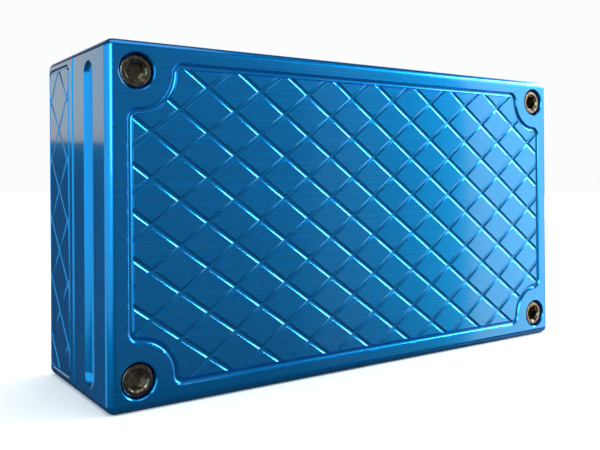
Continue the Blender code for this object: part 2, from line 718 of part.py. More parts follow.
def camera_connector():
    """The flat-cable connector at the left end: a body, and a latch that slides out along -X."""
    y = SEAT_Y - CAMERA_TALL / 2
    mouth_x = -BOARD_LENGTH / 2 + FIT_GAP + LATCH_BAR + FIT_GAP
    body = place(
        "camera_connector_body",
        box_mesh("camera_connector_body", (CAMERA_DEEP, CAMERA_TALL, CAMERA_WIDTH)),
        (mouth_x + CAMERA_DEEP / 2, y, MIDDLE_Z),
        FACING_UP,
        "cream_plastic",
    )
    slot_tall = CAMERA_TALL / 2
    slot_width = CAMERA_WIDTH - 2 * CAMERA_END_WALL
    slot_deep = CAMERA_DEEP * 0.7
    hollows = new_collection("camera_slot", cutters)
    low = (mouth_x - SKIN_OVERRUN, y - slot_tall / 2, MIDDLE_Z - slot_width / 2)
    high = (mouth_x + slot_deep, y + slot_tall / 2, MIDDLE_Z + slot_width / 2)
    cut_box("camera_slot", low, high, hollows)
    boolean(body, "DIFFERENCE", hollows)

    bar_x = mouth_x - FIT_GAP - LATCH_BAR / 2
    latch = place(
        "camera_connector_latch",
        box_mesh("camera_connector_latch", (LATCH_BAR, CAMERA_TALL, CAMERA_WIDTH)),
        (bar_x, y, MIDDLE_Z),
        FACING_UP,
        "black_plastic",
    )
    tongue = box_mesh(
        "latch_tongue",
        (LATCH_BAR / 2 + LATCH_TONGUE, slot_tall - 2 * FIT_GAP, slot_width - 4 * FIT_GAP),
    )
    centre = (bar_x + (LATCH_BAR / 2 + LATCH_TONGUE) / 2, y, MIDDLE_Z)
    boolean(latch, "UNION", helper("latch_tongue", tongue, centre, FACING_UP, cutters))


def pin_header():
    """The two-row header: a moulded strip with its square pins joined to it, through the board's holes."""
    middle_z = BOARD_LOW_Z + HEADER_FROM_EDGE
    size = (PIN_COLUMNS * PIN_PITCH, PIN_PITCH, PIN_ROWS * PIN_PITCH)
    header = place(
        "pin_header",
        box_mesh("pin_header", size),
        (0, SEAT_Y - PIN_PITCH / 2, middle_z),
        FACING_UP,
        "black_plastic",
    )
    tip_y = SEAT_Y - PIN_PITCH - PIN_ABOVE_HOUSING
    tail_y = BOARD_BACK_Y + PIN_BELOW_BOARD
    bm = bmesh.new()
    for x, z in header_pins():
        shape = Matrix.Translation((x, 0, z - middle_z)) @ Matrix.Diagonal(
            (PIN_SIDE, tail_y - tip_y, PIN_SIDE, 1)
        )
        bmesh.ops.create_cube(bm, size=1, matrix=shape)
    pins = helper("pins", mesh_from("pins", bm), (0, (tip_y + tail_y) / 2, middle_z), FACING_UP, cutters)
    boolean(header, "UNION", pins)


front_case_half()
rear_case_half()
case_screws()
board_screws()
main_board()
board_blocks()
thermal_pad()
for port_name, (*port_sizes, _) in PORTS.items():
    port(port_name, *port_sizes)
card_slot_and_card()
camera_connector()
pin_header()
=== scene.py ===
"""The looks of a small board computer in a milled, blue anodised heat-sink case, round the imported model.

Metres, +Z up. The case stands on a long edge: X runs along it and -Y is the front. Everything is placed
from the boxes of the CAD nodes.
"""

import math

import bmesh
import bpy
from mathutils import Matrix, Vector

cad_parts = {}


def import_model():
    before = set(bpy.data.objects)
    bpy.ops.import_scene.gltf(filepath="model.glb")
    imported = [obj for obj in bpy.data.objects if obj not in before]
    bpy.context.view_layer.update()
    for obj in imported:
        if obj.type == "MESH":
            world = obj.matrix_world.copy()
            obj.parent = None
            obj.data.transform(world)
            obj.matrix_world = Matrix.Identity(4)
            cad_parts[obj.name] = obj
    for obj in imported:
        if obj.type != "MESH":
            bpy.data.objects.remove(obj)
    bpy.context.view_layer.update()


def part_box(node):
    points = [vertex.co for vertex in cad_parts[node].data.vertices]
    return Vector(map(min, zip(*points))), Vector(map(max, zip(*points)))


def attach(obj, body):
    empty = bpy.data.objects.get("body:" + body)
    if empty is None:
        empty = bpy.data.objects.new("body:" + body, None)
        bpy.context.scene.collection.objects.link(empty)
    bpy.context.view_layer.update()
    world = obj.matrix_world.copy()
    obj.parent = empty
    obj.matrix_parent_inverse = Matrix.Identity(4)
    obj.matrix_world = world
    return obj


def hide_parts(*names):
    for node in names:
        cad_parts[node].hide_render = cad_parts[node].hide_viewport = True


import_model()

MM = 0.001
REAR = "rear_assembly"
FRONT = "front_assembly"

# The case, from its CAD nodes
FRONT_LOW, FRONT_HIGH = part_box("front_case_half")
REAR_LOW, REAR_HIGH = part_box("rear_case_half")
WIDTH = FRONT_HIGH.x - FRONT_LOW.x
HEIGHT = FRONT_HIGH.z - FRONT_LOW.z
MIDDLE_Z = (FRONT_HIGH.z + FRONT_LOW.z) / 2
HALF_WIDTH = WIDTH / 2
HALF_HEIGHT = HEIGHT / 2
FRONT_Y = FRONT_LOW.y
REAR_Y = REAR_HIGH.y
PARTING_GAP = 0.1 * MM
MEETING_Y = REAR_LOW.y - PARTING_GAP
PARTING_Y = REAR_LOW.y - PARTING_GAP / 2
SCREW_NUMBERS = range(1, 5)
FIRST_LOW, FIRST_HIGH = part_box("case_screw_1")
SCREW_U = abs(FIRST_LOW.x + FIRST_HIGH.x) / 2
SCREW_V = (FIRST_LOW.z + FIRST_HIGH.z) / 2 - MIDDLE_Z

# Case details
EDGE_FILLET = 1.0 * MM
FILLET_STEPS = 6
PARTING_CHAMFER = 0.3 * MM
OVERRUN = 0.4 * MM
ROUND_STEPS = 48
GROOVE_BALL = 0.4 * MM
LATTICE_DEPTH = 0.14 * MM
BORDER_DEPTH = 0.28 * MM
GROOVE_LIP = 0.03 * MM
BORDER_INSET = 2.5 * MM
TICKET_RADIUS = 4.3 * MM
TICKET_BLEND = 0.95 * MM
FRONT_PITCH = (6.95 * MM, 5.08 * MM)
FINE_BALL = 0.25 * MM
FINE_DEPTH = 0.09 * MM
FINE_LIP = 0.02 * MM
FINE_PITCH = (6.5 * MM, 7.45 * MM)
END_PANEL = (2.2 * MM, 10.0 * MM)
END_MARGIN = 1.4 * MM
PANEL_CORNER = 0.8 * MM
COUNTERBORE_RADIUS = 2.0 * MM
COUNTERBORE_CHAMFER = 0.125 * MM
CLEARANCE_RADIUS = 1.25 * MM
FLUTE_RADIUS = 1.984 * MM
FLUTE_DEPTH = 0.76 * MM
FLUTE_FROM_FRONT = 6.0 * MM
FLUTE_MARGIN = 1.3 * MM
OPENING_LIP = 0.12 * MM

# Inside the case
FRONT_WALL = 5.0 * MM
REAR_WALL = 2.8 * MM
POCKET_SIZE = (66.0 * MM, 31.0 * MM)
POCKET_CORNER = 3.25 * MM
POCKET_FLOOR_ROUND = 0.8 * MM
PLUG_WEB = 1.4 * MM
CARD_WEB = 1.0 * MM
WINDOW_MARGIN = 0.5 * MM
RELIEF_CORNER = 1.5 * MM
SMALL_PLUG = (11.0 * MM, 8.5 * MM)
VIDEO_PLUG = (15.5 * MM, 10.0 * MM)
CARD_RELIEF = (8.0 * MM, 16.5 * MM)
PLUGS = {"data_port": SMALL_PLUG, "power_port": SMALL_PLUG, "video_port": VIDEO_PLUG}
LATCH_RELIEF = 1.2 * MM
PEDESTAL_SIDE = 15.0 * MM
PAD_GAP = 0.1 * MM
STANDOFF_RADIUS = 2.75 * MM
TAP_CLEARANCE = 0.1 * MM

SEAT_GAP = 0.1 * MM
SCREW_ROOM = 2.28 * MM
POCKET_TOP = MIDDLE_Z + POCKET_SIZE[1] / 2
POCKET_END = POCKET_SIZE[0] / 2

SHARP = math.radians(32)


def centre_of(node):
    low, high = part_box(node)
    return (low + high) / 2


def screw_places(kind):
    return [centre_of(f"{kind}_{number}") for number in SCREW_NUMBERS]


# Meshes


def placed(name, data):
    obj = bpy.data.objects.new(name, data)
    bpy.context.scene.collection.objects.link(obj)
    return obj


def mesh_from(name, bm):
    mesh = bpy.data.meshes.new(name)
    bmesh.ops.recalc_face_normals(bm, faces=bm.faces)
    bm.to_mesh(mesh)
    bm.free()
    return mesh


def smooth(mesh, angle=SHARP):
    mesh.shade_smooth()
    mesh.set_sharp_from_angle(angle=angle)


def tool(mesh, matrix=None):
    """A shape that cuts or joins a piece. It is in no collection until it is used."""
    obj = bpy.data.objects.new(mesh.name, mesh)
    obj.matrix_world = matrix or Matrix.Identity(4)
    return obj


def bake(obj):
    """Replaces the object's mesh by what its modifiers make of it."""
    bpy.context.view_layer.update()
    graph = bpy.context.evaluated_depsgraph_get()
    mesh = bpy.data.meshes.new_from_object(obj.evaluated_get(graph))
    obj.modifiers.clear()
    obj.data = mesh


def combine(obj, tools, operation="DIFFERENCE"):
    """Cuts the object with every tool, or joins every tool to it, and removes the tools."""
    collection = bpy.data.collections.new("tools")
    bpy.context.scene.collection.children.link(collection)
    if not obj.users_collection:
        bpy.context.scene.collection.objects.link(obj)
    for each in tools:
        collection.objects.link(each)
    modifier = obj.modifiers.new(operation.lower(), "BOOLEAN")
    modifier.operation = operation
    modifier.solver = "EXACT"
    modifier.operand_type = "COLLECTION"
    modifier.collection = collection
    bake(obj)
    for each in tools:
        bpy.data.objects.remove(each, do_unlink=True)
    bpy.data.collections.remove(collection)


def taken(obj):
    """The object's mesh, once the object is gone."""
    mesh = obj.data
    bpy.data.objects.remove(obj, do_unlink=True)
    return mesh


def arc(centre, radius, start, end, steps):
    """Points from one angle to another, in degrees, both ends included."""
    points = []
    for step in range(steps + 1):
        angle = math.radians(start + (end - start) * step / steps)
        points.append((centre[0] + radius * math.cos(angle), centre[1] + radius * math.sin(angle)))
    return points


def rounded_rectangle(width, height, radius, steps=8):
    points = []
    for quarter, (sign_u, sign_v) in enumerate(((1, 1), (-1, 1), (-1, -1), (1, -1))):
        centre = (sign_u * (width / 2 - radius), sign_v * (height / 2 - radius))
        points += arc(centre, radius, 90 * quarter, 90 * quarter + 90, steps)
    return points


def bearing(start, end, below=360):
    """The angle of one point seen from another, in degrees, brought under a limit."""
    angle = math.degrees(math.atan2(end[1] - start[1], end[0] - start[0]))
    return angle - 360 if angle > below else angle


def ticket_quarter(half_u, half_v):
    """The corner of the front's border in the quarter where u and v are positive, from its right run to
    its top run: an arc round the screw, blended into both runs."""
    reach = TICKET_RADIUS + TICKET_BLEND
    low = half_u - TICKET_BLEND
    first = (low, SCREW_V - math.sqrt(reach**2 - (SCREW_U - low) ** 2))
    high = half_v - TICKET_BLEND
    last = (SCREW_U - math.sqrt(reach**2 - (SCREW_V - high) ** 2), high)
    screw = (SCREW_U, SCREW_V)
    start = bearing(screw, first)
    points = arc(first, TICKET_BLEND, 0, bearing(first, screw), 6)
    points += arc(screw, TICKET_RADIUS, start, bearing(screw, last, start), 14)[1:-1]
    points += arc(last, TICKET_BLEND, bearing(last, screw), 90, 6)
    return points


def ticket_outline(half_u, half_v):
    quarter = ticket_quarter(half_u, half_v)
    upper = quarter + [(-u, v) for u, v in reversed(quarter)]
    return upper + [(-u, -v) for u, v in upper]


def inside_runs(outline, start, direction):
    """The stretches of an endless line that lie inside the outline, as pairs of points."""
    found = []
    for index, first in enumerate(outline):
        second = outline[(index + 1) % len(outline)]
        edge = (second[0] - first[0], second[1] - first[1])
        across = direction[0] * edge[1] - direction[1] * edge[0]
        if abs(across) < 1e-15:
            continue
        offset = (first[0] - start[0], first[1] - start[1])
        along_edge = (offset[0] * direction[1] - offset[1] * direction[0]) / across
        if 0 <= along_edge < 1:
            found.append((offset[0] * edge[1] - offset[1] * edge[0]) / across)
    found.sort()
    points = [(start[0] + t * direction[0], start[1] + t * direction[1]) for t in found]
    return list(zip(points[::2], points[1::2]))


def groove_profile(ball, depth, lip, steps=8):
    """A ball-nosed groove's section as (across, outward), with a small chamfer at each lip."""
    reach = math.degrees(math.acos((ball - depth) / ball))
    floor = arc((0, ball - depth), ball, -90 - reach, -90 + reach, steps)
    side = lip + OVERRUN
    left = (floor[0][0] - side, side - lip)
    right = (floor[-1][0] + side, side - lip)
    low = -lip
    inner = [(u, min(v, low)) if index in (0, steps) else (u, v) for index, (u, v) in enumerate(floor)]
    return [left, *inner, right]


def skin(bm, rings, wraps=False):
    """Faces from each ring to the next. The last joins the first if it wraps, or else both are capped."""
    pairs = list(zip(rings, rings[1:]))
    if wraps:
        pairs.append((rings[-1], rings[0]))
    for ring, following in pairs:
        for corner in range(len(ring)):
            after = (corner + 1) % len(ring)
            bm.faces.new((ring[corner], ring[after], following[after], following[corner]))
    if not wraps:
        bm.faces.new(rings[0])
        bm.faces.new(list(reversed(rings[-1])))


def sweep(name, path, profile, closed):
    """The profile drawn along a flat path, mitred at its corners. Local Z is the profile's outward."""
    bm = bmesh.new()
    rings = []
    count = len(path)
    for index, (u, v) in enumerate(path):
        before = Vector(path[index - 1] if index or closed else path[0])
        after = Vector(path[(index + 1) % count] if index < count - 1 or closed else path[-1])
        here = Vector((u, v))
        sides = [d.normalized() for d in (here - before, after - here) if d.length > 1e-9]
        tangent = sum(sides, Vector((0, 0))).normalized()
        normal = Vector((-tangent.y, tangent.x))
        stretch = 1 / max(0.4, tangent.dot(sides[0]))
        ring = []
        for across, out in profile:
            ring.append(bm.verts.new((u + normal.x * across * stretch, v + normal.y * across * stretch, out)))
        rings.append(ring)
    skin(bm, rings, closed)
    return mesh_from(name, bm)


def loft(name, rings):
    """A closed solid through rings of points, each with as many points as the others, capped at its ends."""
    bm = bmesh.new()
    skin(bm, [[bm.verts.new(point) for point in ring] for ring in rings])
    return mesh_from(name, bm)


def turned(name, profile, steps):
    """A profile of (radius, height) turned about local Z. Its first and last points are on the axis."""
    bm = bmesh.new()
    inner = profile[1:-1]
    rings = []
    for step in range(steps):
        angle = 2 * math.pi * step / steps
        rings.append([bm.verts.new((r * math.cos(angle), r * math.sin(angle), h)) for r, h in inner])
    top = bm.verts.new((0, 0, profile[0][1]))
    bottom = bm.verts.new((0, 0, profile[-1][1]))
    for index, ring in enumerate(rings):
        following = rings[(index + 1) % steps]
        bm.faces.new((top, ring[0], following[0]))
        bm.faces.new((bottom, following[-1], ring[-1]))
        for row in range(len(inner) - 1):
            bm.faces.new((ring[row], ring[row + 1], following[row + 1], following[row]))
    return mesh_from(name, bm)


def capsule(name, radius, length, steps=ROUND_STEPS):
    """A ball stretched along local Z, as a ball-nosed cutter sweeps it."""
    reach = length / 2 - radius
    quarter = 10
    upper = arc((0, reach), radius, 90, 0, quarter)
    lower = arc((0, -reach), radius, 0, -90, quarter)
    return turned(name, [(max(r, 0), h) for r, h in upper + lower], steps)


def box(name, low, high):
    bm = bmesh.new()
    bmesh.ops.create_cube(bm, size=1)
    size = Vector(high) - Vector(low)
    bmesh.ops.scale(bm, vec=size, verts=bm.verts)
    bmesh.ops.translate(bm, vec=(Vector(high) + Vector(low)) / 2, verts=bm.verts)
    return mesh_from(name, bm)


def rings_of(size, corner, levels, steps=8):
    """Rounded rectangles at several heights, for loft(). levels are (how much larger all round, height)."""
    rings = []
    for grow, height in levels:
        radius = max(corner + grow, 0.01 * MM)
        outline = rounded_rectangle(size[0] + 2 * grow, size[1] + 2 * grow, radius, steps)
        rings.append([(u, v, height) for u, v in outline])
    return rings


def pit(name, size, corner, depth, lip, floor_round=0.0):
    """A cutter for a rounded pit below local Z 0, chamfered at its mouth and rounded at its floor."""
    levels = []
    for step in range(5):
        angle = math.pi / 2 * step / 4
        if floor_round or step == 4:
            inset = floor_round * (1 - math.sin(angle))
            rise = floor_round * (1 - math.cos(angle))
            levels.append((-inset, rise - depth))
    levels += [(0, -lip), (lip + OVERRUN, OVERRUN)]
    return loft(name, rings_of(size, corner, levels))


def drill(name, radius, low, high, steps=ROUND_STEPS):
    """A plain round cutter along local Z."""
    return turned(name, [(0, high), (radius, high), (radius, low), (0, low)], steps)


# The world directions of local X and Y on a face whose local Z points that way
FACES = {
    "front": ((1, 0, 0), (0, 0, 1)),
    "rear": ((-1, 0, 0), (0, 0, 1)),
    "top": ((1, 0, 0), (0, 1, 0)),
    "underside": ((1, 0, 0), (0, -1, 0)),
    "right": ((0, 1, 0), (0, 0, 1)),
    "left": ((0, -1, 0), (0, 0, 1)),
}


def facing(face, x, y, z):
    across, up = (Vector(direction) for direction in FACES[face])
    turn = Matrix((across, up, across.cross(up))).transposed().to_4x4()
    return Matrix.Translation((x, y, z)) @ turn


# Materials


MICROMETRE = 0.000001


class Finish:
    """A material on a Principled shader, with short ways to add the nodes that vary it."""

    def __init__(self, name, colour, metallic, roughness):
        self.material = bpy.data.materials.new(name)
        self.material.use_nodes = True
        self.tree = self.material.node_tree
        self.shader = self.tree.nodes["Principled BSDF"]
        self.set("Base Color", (*colour, 1))
        self.set("Metallic", metallic)
        self.set("Roughness", roughness)
        self.place = self.tree.nodes.new("ShaderNodeTexCoord")

    def set(self, socket, value):
        self.shader.inputs[socket].default_value = value

    def link(self, source, target):
        self.tree.links.new(source, target)
        return source

    def add(self, kind, **settings):
        node = self.tree.nodes.new(kind)
        for key, value in settings.items():
            setattr(node, key, value)
        return node

    def noise(self, scale, stretch=(1, 1, 1), detail=3.0, rough=0.55):
        """Noise in the object's own metres: scale is in features a metre, along each axis."""
        mapping = self.add("ShaderNodeMapping")
        mapping.inputs["Scale"].default_value = stretch
        self.link(self.place.outputs["Object"], mapping.inputs["Vector"])
        noise = self.add("ShaderNodeTexNoise")
        noise.inputs["Scale"].default_value = scale
        noise.inputs["Detail"].default_value = detail
        noise.inputs["Roughness"].default_value = rough
        self.link(mapping.outputs["Vector"], noise.inputs["Vector"])
        return noise.outputs["Fac"]

    def remap(self, source, low, high, start=0.3, end=0.7):
        node = self.add("ShaderNodeMapRange")
        node.inputs["From Min"].default_value = start
        node.inputs["From Max"].default_value = end
        node.inputs["To Min"].default_value = low
        node.inputs["To Max"].default_value = high
        self.link(source, node.inputs["Value"])
        return node.outputs["Result"]

    def math(self, operation, first, second):
        node = self.add("ShaderNodeMath", operation=operation)
        for socket, value in zip(node.inputs, (first, second)):
            if isinstance(value, (int, float)):
                socket.default_value = value
            else:
                self.link(value, socket)
        return node.outputs["Value"]

    def blend(self, amount, first, second):
        """A colour or value between two, by amount."""
        node = self.add("ShaderNodeMix", data_type="RGBA")
        self.link(amount, node.inputs["Factor"])
        for socket, value in ((node.inputs[6], first), (node.inputs[7], second)):
            if isinstance(value, tuple):
                socket.default_value = (*value, 1)
            else:
                self.link(value, socket)
        return node.outputs[2]

    def choose(self, amount, first, second):
        """A value between two others, by amount."""
        node = self.add("ShaderNodeMix", data_type="FLOAT")
        self.link(amount, node.inputs["Factor"])
        self.link(first, node.inputs[2])
        self.link(second, node.inputs[3])
        return node.outputs[0]

    def colour(self, source):
        self.link(source, self.shader.inputs["Base Color"])

    def rough(self, source):
        self.link(source, self.shader.inputs["Roughness"])

    def bump(self, height, distance, strength=1.0):
        node = self.add("ShaderNodeBump")
        node.inputs["Strength"].default_value = strength
        node.inputs["Distance"].default_value = distance
        self.link(height, node.inputs["Height"])
        self.link(node.outputs["Normal"], self.shader.inputs["Normal"])


def brushed_anodise():
    """Blue anodised aluminium, faintly brushed along X on the front and the rear and along Z on the ends."""
    finish = Finish("blue_anodised_aluminium", (0.0, 0.34, 1.0), 0.945, 0.28)
    along_x = finish.noise(1, (60, 60, 6000))
    along_side = finish.noise(1, (140, 7000, 60))
    split = finish.add("ShaderNodeSeparateXYZ")
    finish.link(finish.place.outputs["Normal"], split.inputs[0])
    lengthways = finish.remap(finish.math("ABSOLUTE", split.outputs["Y"], 0), 0.0, 1.0, 0.6, 0.8)
    streaks = finish.choose(lengthways, along_side, along_x)
    cloud = finish.noise(160, detail=2.0)
    tone = finish.math("ADD", finish.math("MULTIPLY", streaks, 0.5), finish.math("MULTIPLY", cloud, 0.5))
    shade = finish.remap(tone, 0.0, 1.0, 0.3, 0.7)
    finish.colour(finish.blend(shade, (0.0, 0.325, 0.95), (0.0, 0.355, 1.0)))
    finish.rough(finish.remap(streaks, 0.24, 0.28))
    finish.bump(streaks, 0.012 * MICROMETRE)
    finish.set("Specular Tint", (0.0, 0.55, 1.0, 1))
    finish.set("Anisotropic", 0.35)
    finish.set("Coat Weight", 1.0)
    finish.set("Coat Roughness", 0.08)
    finish.set("Coat IOR", 1.5)
    return finish.material


def black_oxide():
    """Black-oxide steel with a warm cast, with bright wear in blotches and a painted highlight along its
    edges.
    """
    finish = Finish("black_oxide_steel", (0.14, 0.105, 0.075), 1.0, 0.3)
    blotch = finish.noise(2600, detail=4.0)
    grain = finish.noise(9000, detail=2.0)
    geometry = finish.add("ShaderNodeNewGeometry")
    # Painted highlight: convex edges, found by their pointiness, are blended towards the light tan colour.
    edge = finish.remap(geometry.outputs["Pointiness"], 0.0, 0.6, 0.53, 0.60)
    wear_and_edge_highlight = finish.math("ADD", finish.remap(blotch, 0.0, 0.8), edge)
    # The colour is lighter in the wear blotches and, as a painted highlight, along the edges.
    finish.colour(finish.blend(wear_and_edge_highlight, (0.10, 0.076, 0.056), (0.46, 0.38, 0.30)))
    finish.rough(finish.remap(blotch, 0.32, 0.18))
    finish.bump(grain, 3 * MICROMETRE)
    return finish.material


# Dark and light colour, metallic, least and greatest roughness, grains a metre, and bump in micrometres
SURFACES = {
    "stainless_steel": ((0.46, 0.46, 0.45), (0.62, 0.62, 0.60), 1.0, 0.22, 0.38, 3000, 2.0),
    "tinned_steel": ((0.55, 0.55, 0.53), (0.70, 0.70, 0.68), 0.8, 0.20, 0.36, 1800, 1.5),
    "solder_tin": ((0.60, 0.60, 0.60), (0.74, 0.74, 0.73), 0.75, 0.28, 0.45, 2500, 3.0),
    "gold_plate": ((0.72, 0.50, 0.18), (0.85, 0.62, 0.26), 0.7, 0.18, 0.34, 2600, 1.0),
    "green_solder_mask": ((0.006, 0.060, 0.022), (0.010, 0.085, 0.032), 0.0, 0.30, 0.42, 700, 2.0),
    "green_track": ((0.012, 0.110, 0.040), (0.020, 0.140, 0.052), 0.0, 0.28, 0.40, 900, 2.0),
    "white_ink": ((0.62, 0.62, 0.60), (0.74, 0.74, 0.72), 0.0, 0.55, 0.70, 6000, 3.0),
    "black_epoxy": ((0.012, 0.012, 0.014), (0.026, 0.026, 0.028), 0.0, 0.50, 0.66, 6000, 4.0),
    "grey_silicone": ((0.26, 0.28, 0.30), (0.34, 0.36, 0.38), 0.0, 0.72, 0.88, 2400, 14.0),
    "black_plastic": ((0.010, 0.010, 0.011), (0.020, 0.020, 0.022), 0.0, 0.38, 0.55, 4500, 4.0),
    "cream_plastic": ((0.64, 0.58, 0.43), (0.72, 0.66, 0.50), 0.0, 0.42, 0.58, 4500, 3.0),
    "tan_ceramic": ((0.36, 0.25, 0.15), (0.46, 0.34, 0.21), 0.0, 0.42, 0.60, 5000, 4.0),
    "grey_ferrite": ((0.10, 0.10, 0.11), (0.17, 0.17, 0.18), 0.0, 0.52, 0.70, 5000, 8.0),
    "clear_green_led": ((0.22, 0.62, 0.26), (0.34, 0.80, 0.38), 0.0, 0.12, 0.22, 3000, 1.0),
}


def surface(name):
    """A finish from the table: its grain varies the colour, the roughness and the relief."""
    dark, light, metallic, least, greatest, grains, relief = SURFACES[name]
    finish = Finish(name, light, metallic, greatest)
    grain = finish.noise(grains)
    cloud = finish.noise(grains / 12, detail=2.0)
    tone = finish.math("ADD", finish.math("MULTIPLY", grain, 0.5), finish.math("MULTIPLY", cloud, 0.5))
    finish.colour(finish.blend(finish.remap(tone, 0.0, 1.0), dark, light))
    finish.rough(finish.remap(tone, greatest, least))
    finish.bump(grain, relief * MICROMETRE)
    return finish.material


# Pieces


def add_piece(name, mesh, body, materials, nodes=(), matrix=None):
    """Adds a visible piece that rides on a body and stands for CAD nodes. Its round stretches are shaded
    smooth and its flats stay flat."""
    obj = placed(name, mesh)
    if matrix:
        obj.matrix_world = matrix
    mesh.materials.clear()
    for material in materials:
        mesh.materials.append(material)
    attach(obj, body)
    if nodes:
        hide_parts(*nodes)
    smooth(mesh)
    modifier = obj.modifiers.new("weighted_normal", "WEIGHTED_NORMAL")
    modifier.keep_sharp = True
    modifier.weight = 100


def case_block(name, outer_y):
    """The outside of one half: round edges, and a small chamfer where the halves meet."""
    inner_y = MEETING_Y if outer_y == FRONT_Y else REAR_LOW.y
    side = math.copysign(1, outer_y - PARTING_Y)
    depth = abs(outer_y - inner_y)
    bm = bmesh.new()
    bmesh.ops.create_cube(bm, size=1)
    bmesh.ops.scale(bm, vec=(WIDTH, depth, HEIGHT), verts=bm.verts)
    meeting = -side * depth / 2

    def at_meeting(edge):
        return all(abs(vert.co.y - meeting) < EDGE_FILLET / 10 for vert in edge.verts)

    outer = [edge for edge in bm.edges if not at_meeting(edge)]
    bmesh.ops.bevel(bm, geom=outer, offset=EDGE_FILLET, segments=FILLET_STEPS, profile=0.5, affect="EDGES")
    rim = [edge for edge in bm.edges if at_meeting(edge)]
    bmesh.ops.bevel(bm, geom=rim, offset=PARTING_CHAMFER, segments=1, profile=0.5, affect="EDGES")
    bmesh.ops.translate(bm, vec=(0, outer_y - side * depth / 2, MIDDLE_Z), verts=bm.verts)
    return tool(mesh_from(name, bm))


def lattice(matrix, outline, pitch, ball, depth, lip):
    """Grooves that cross as diamonds inside an outline. pitch is a diamond's width and height."""
    profile = groove_profile(ball, depth, lip)
    reach = 2 * max(max(abs(u), abs(v)) for u, v in outline)
    count = int(2 * reach / min(pitch)) + 2
    tools = []
    for slope in (1, -1):
        for index in range(-count, count + 1):
            start = ((index + 0.5) * pitch[0], 0)
            direction = (pitch[0], slope * pitch[1])
            for ends in inside_runs(outline, start, direction):
                if math.dist(*ends) > 4 * ball:
                    tools.append(tool(sweep("groove", ends, profile, False), matrix))
    return tools


def panel(matrix, outline, pitch, ball, depth, border_depth, lip):
    """A panel of diamonds with a border groove round it."""
    border = sweep("border", outline, groove_profile(ball, border_depth, lip), True)
    return [tool(border, matrix), *lattice(matrix, outline, pitch, ball, depth, lip)]


def front_panel():
    matrix = facing("front", 0, FRONT_Y, MIDDLE_Z)
    outline = ticket_outline(HALF_WIDTH - BORDER_INSET, HALF_HEIGHT - BORDER_INSET)
    return panel(matrix, outline, FRONT_PITCH, GROOVE_BALL, LATTICE_DEPTH, BORDER_DEPTH, GROOVE_LIP)


def flutes():
    """Ball-milled flutes, one along each side of the front half."""
    outward = FLUTE_RADIUS - FLUTE_DEPTH
    y = FRONT_Y + FLUTE_FROM_FRONT
    tall = capsule("end_flute", FLUTE_RADIUS, HEIGHT - 2 * FLUTE_MARGIN)
    long = capsule("side_flute", FLUTE_RADIUS, WIDTH - 2 * FLUTE_MARGIN)
    lying = Matrix.Rotation(math.pi / 2, 4, "Y")
    tools = []
    for sign in (-1, 1):
        tools.append(tool(tall, Matrix.Translation((sign * (HALF_WIDTH + outward), y, MIDDLE_Z))))
        z = MIDDLE_Z + sign * (HALF_HEIGHT + outward)
        tools.append(tool(long, Matrix.Translation((0, y, z)) @ lying))
    return tools


def screw_bores():
    """A chamfered counterbore and a clearance hole for each case screw."""
    seat = FIRST_LOW.y - FRONT_Y + SCREW_ROOM
    past = MEETING_Y - FRONT_Y + OVERRUN
    mouth = COUNTERBORE_RADIUS + COUNTERBORE_CHAMFER + OVERRUN
    profile = (
        (0, OVERRUN),
        (mouth, OVERRUN),
        (COUNTERBORE_RADIUS, -COUNTERBORE_CHAMFER),
        (COUNTERBORE_RADIUS, -seat),
        (CLEARANCE_RADIUS, -seat),
        (CLEARANCE_RADIUS, -past),
        (0, -past),
    )
    mesh = turned("screw_bore", profile, ROUND_STEPS)
    return [tool(mesh, facing("front", at.x, FRONT_Y, at.z)) for at in screw_places("case_screw")]


def reliefs():
    """Recesses in the outside, which let a plug's body or a fingertip come close to its connector."""
    tools = []
    depth = FRONT_HIGH.z - POCKET_TOP - PLUG_WEB
    for port, size in PLUGS.items():
        centre = centre_of(f"{port}_shell")
        mesh = pit(f"{port}_relief", size, RELIEF_CORNER, depth, OPENING_LIP)
        tools.append(tool(mesh, facing("top", centre.x, centre.y, FRONT_HIGH.z)))
    depth = HALF_WIDTH - POCKET_END - CARD_WEB
    slot = centre_of("card_slot")
    mesh = pit("card_relief", CARD_RELIEF, RELIEF_CORNER, depth, OPENING_LIP)
    tools.append(tool(mesh, facing("right", HALF_WIDTH, slot.y, slot.z)))
    return tools


def front_case(material):
    """The front half: panel, flutes, screw bores, pocket, and the pedestal that draws the heat off."""
    half = case_block("front_case", FRONT_Y)
    pocket_depth = MEETING_Y - FRONT_Y - FRONT_WALL
    pocket = pit("pocket", POCKET_SIZE, POCKET_CORNER, pocket_depth, OPENING_LIP, POCKET_FLOOR_ROUND)
    hollows = [tool(pocket, facing("rear", 0, MEETING_Y, MIDDLE_Z)), *reliefs()]
    combine(half, [*front_panel(), *flutes(), *screw_bores(), *hollows])
    pad_low, pad_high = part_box("thermal_pad")
    root = FRONT_Y + FRONT_WALL - OVERRUN
    tall = pad_low.y - PAD_GAP - root
    edge = 0.3 * MM
    levels = [(0.8 * MM, 0), (0.8 * MM, OVERRUN), (0, OVERRUN + 0.8 * MM), (0, tall - edge), (-edge, tall)]
    pedestal = loft("pedestal", rings_of((PEDESTAL_SIDE, PEDESTAL_SIDE), 0.6 * MM, levels))
    middle = (pad_low + pad_high) / 2
    combine(half, [tool(pedestal, facing("rear", middle.x, root, middle.z))], "UNION")
    add_piece("front_case", taken(half), FRONT, [material], ["front_case_half"])


def fine_panel(matrix, half_u, half_v):
    outline = rounded_rectangle(2 * half_u, 2 * half_v, PANEL_CORNER)
    return panel(matrix, outline, FINE_PITCH, FINE_BALL, FINE_DEPTH, 1.6 * FINE_DEPTH, FINE_LIP)


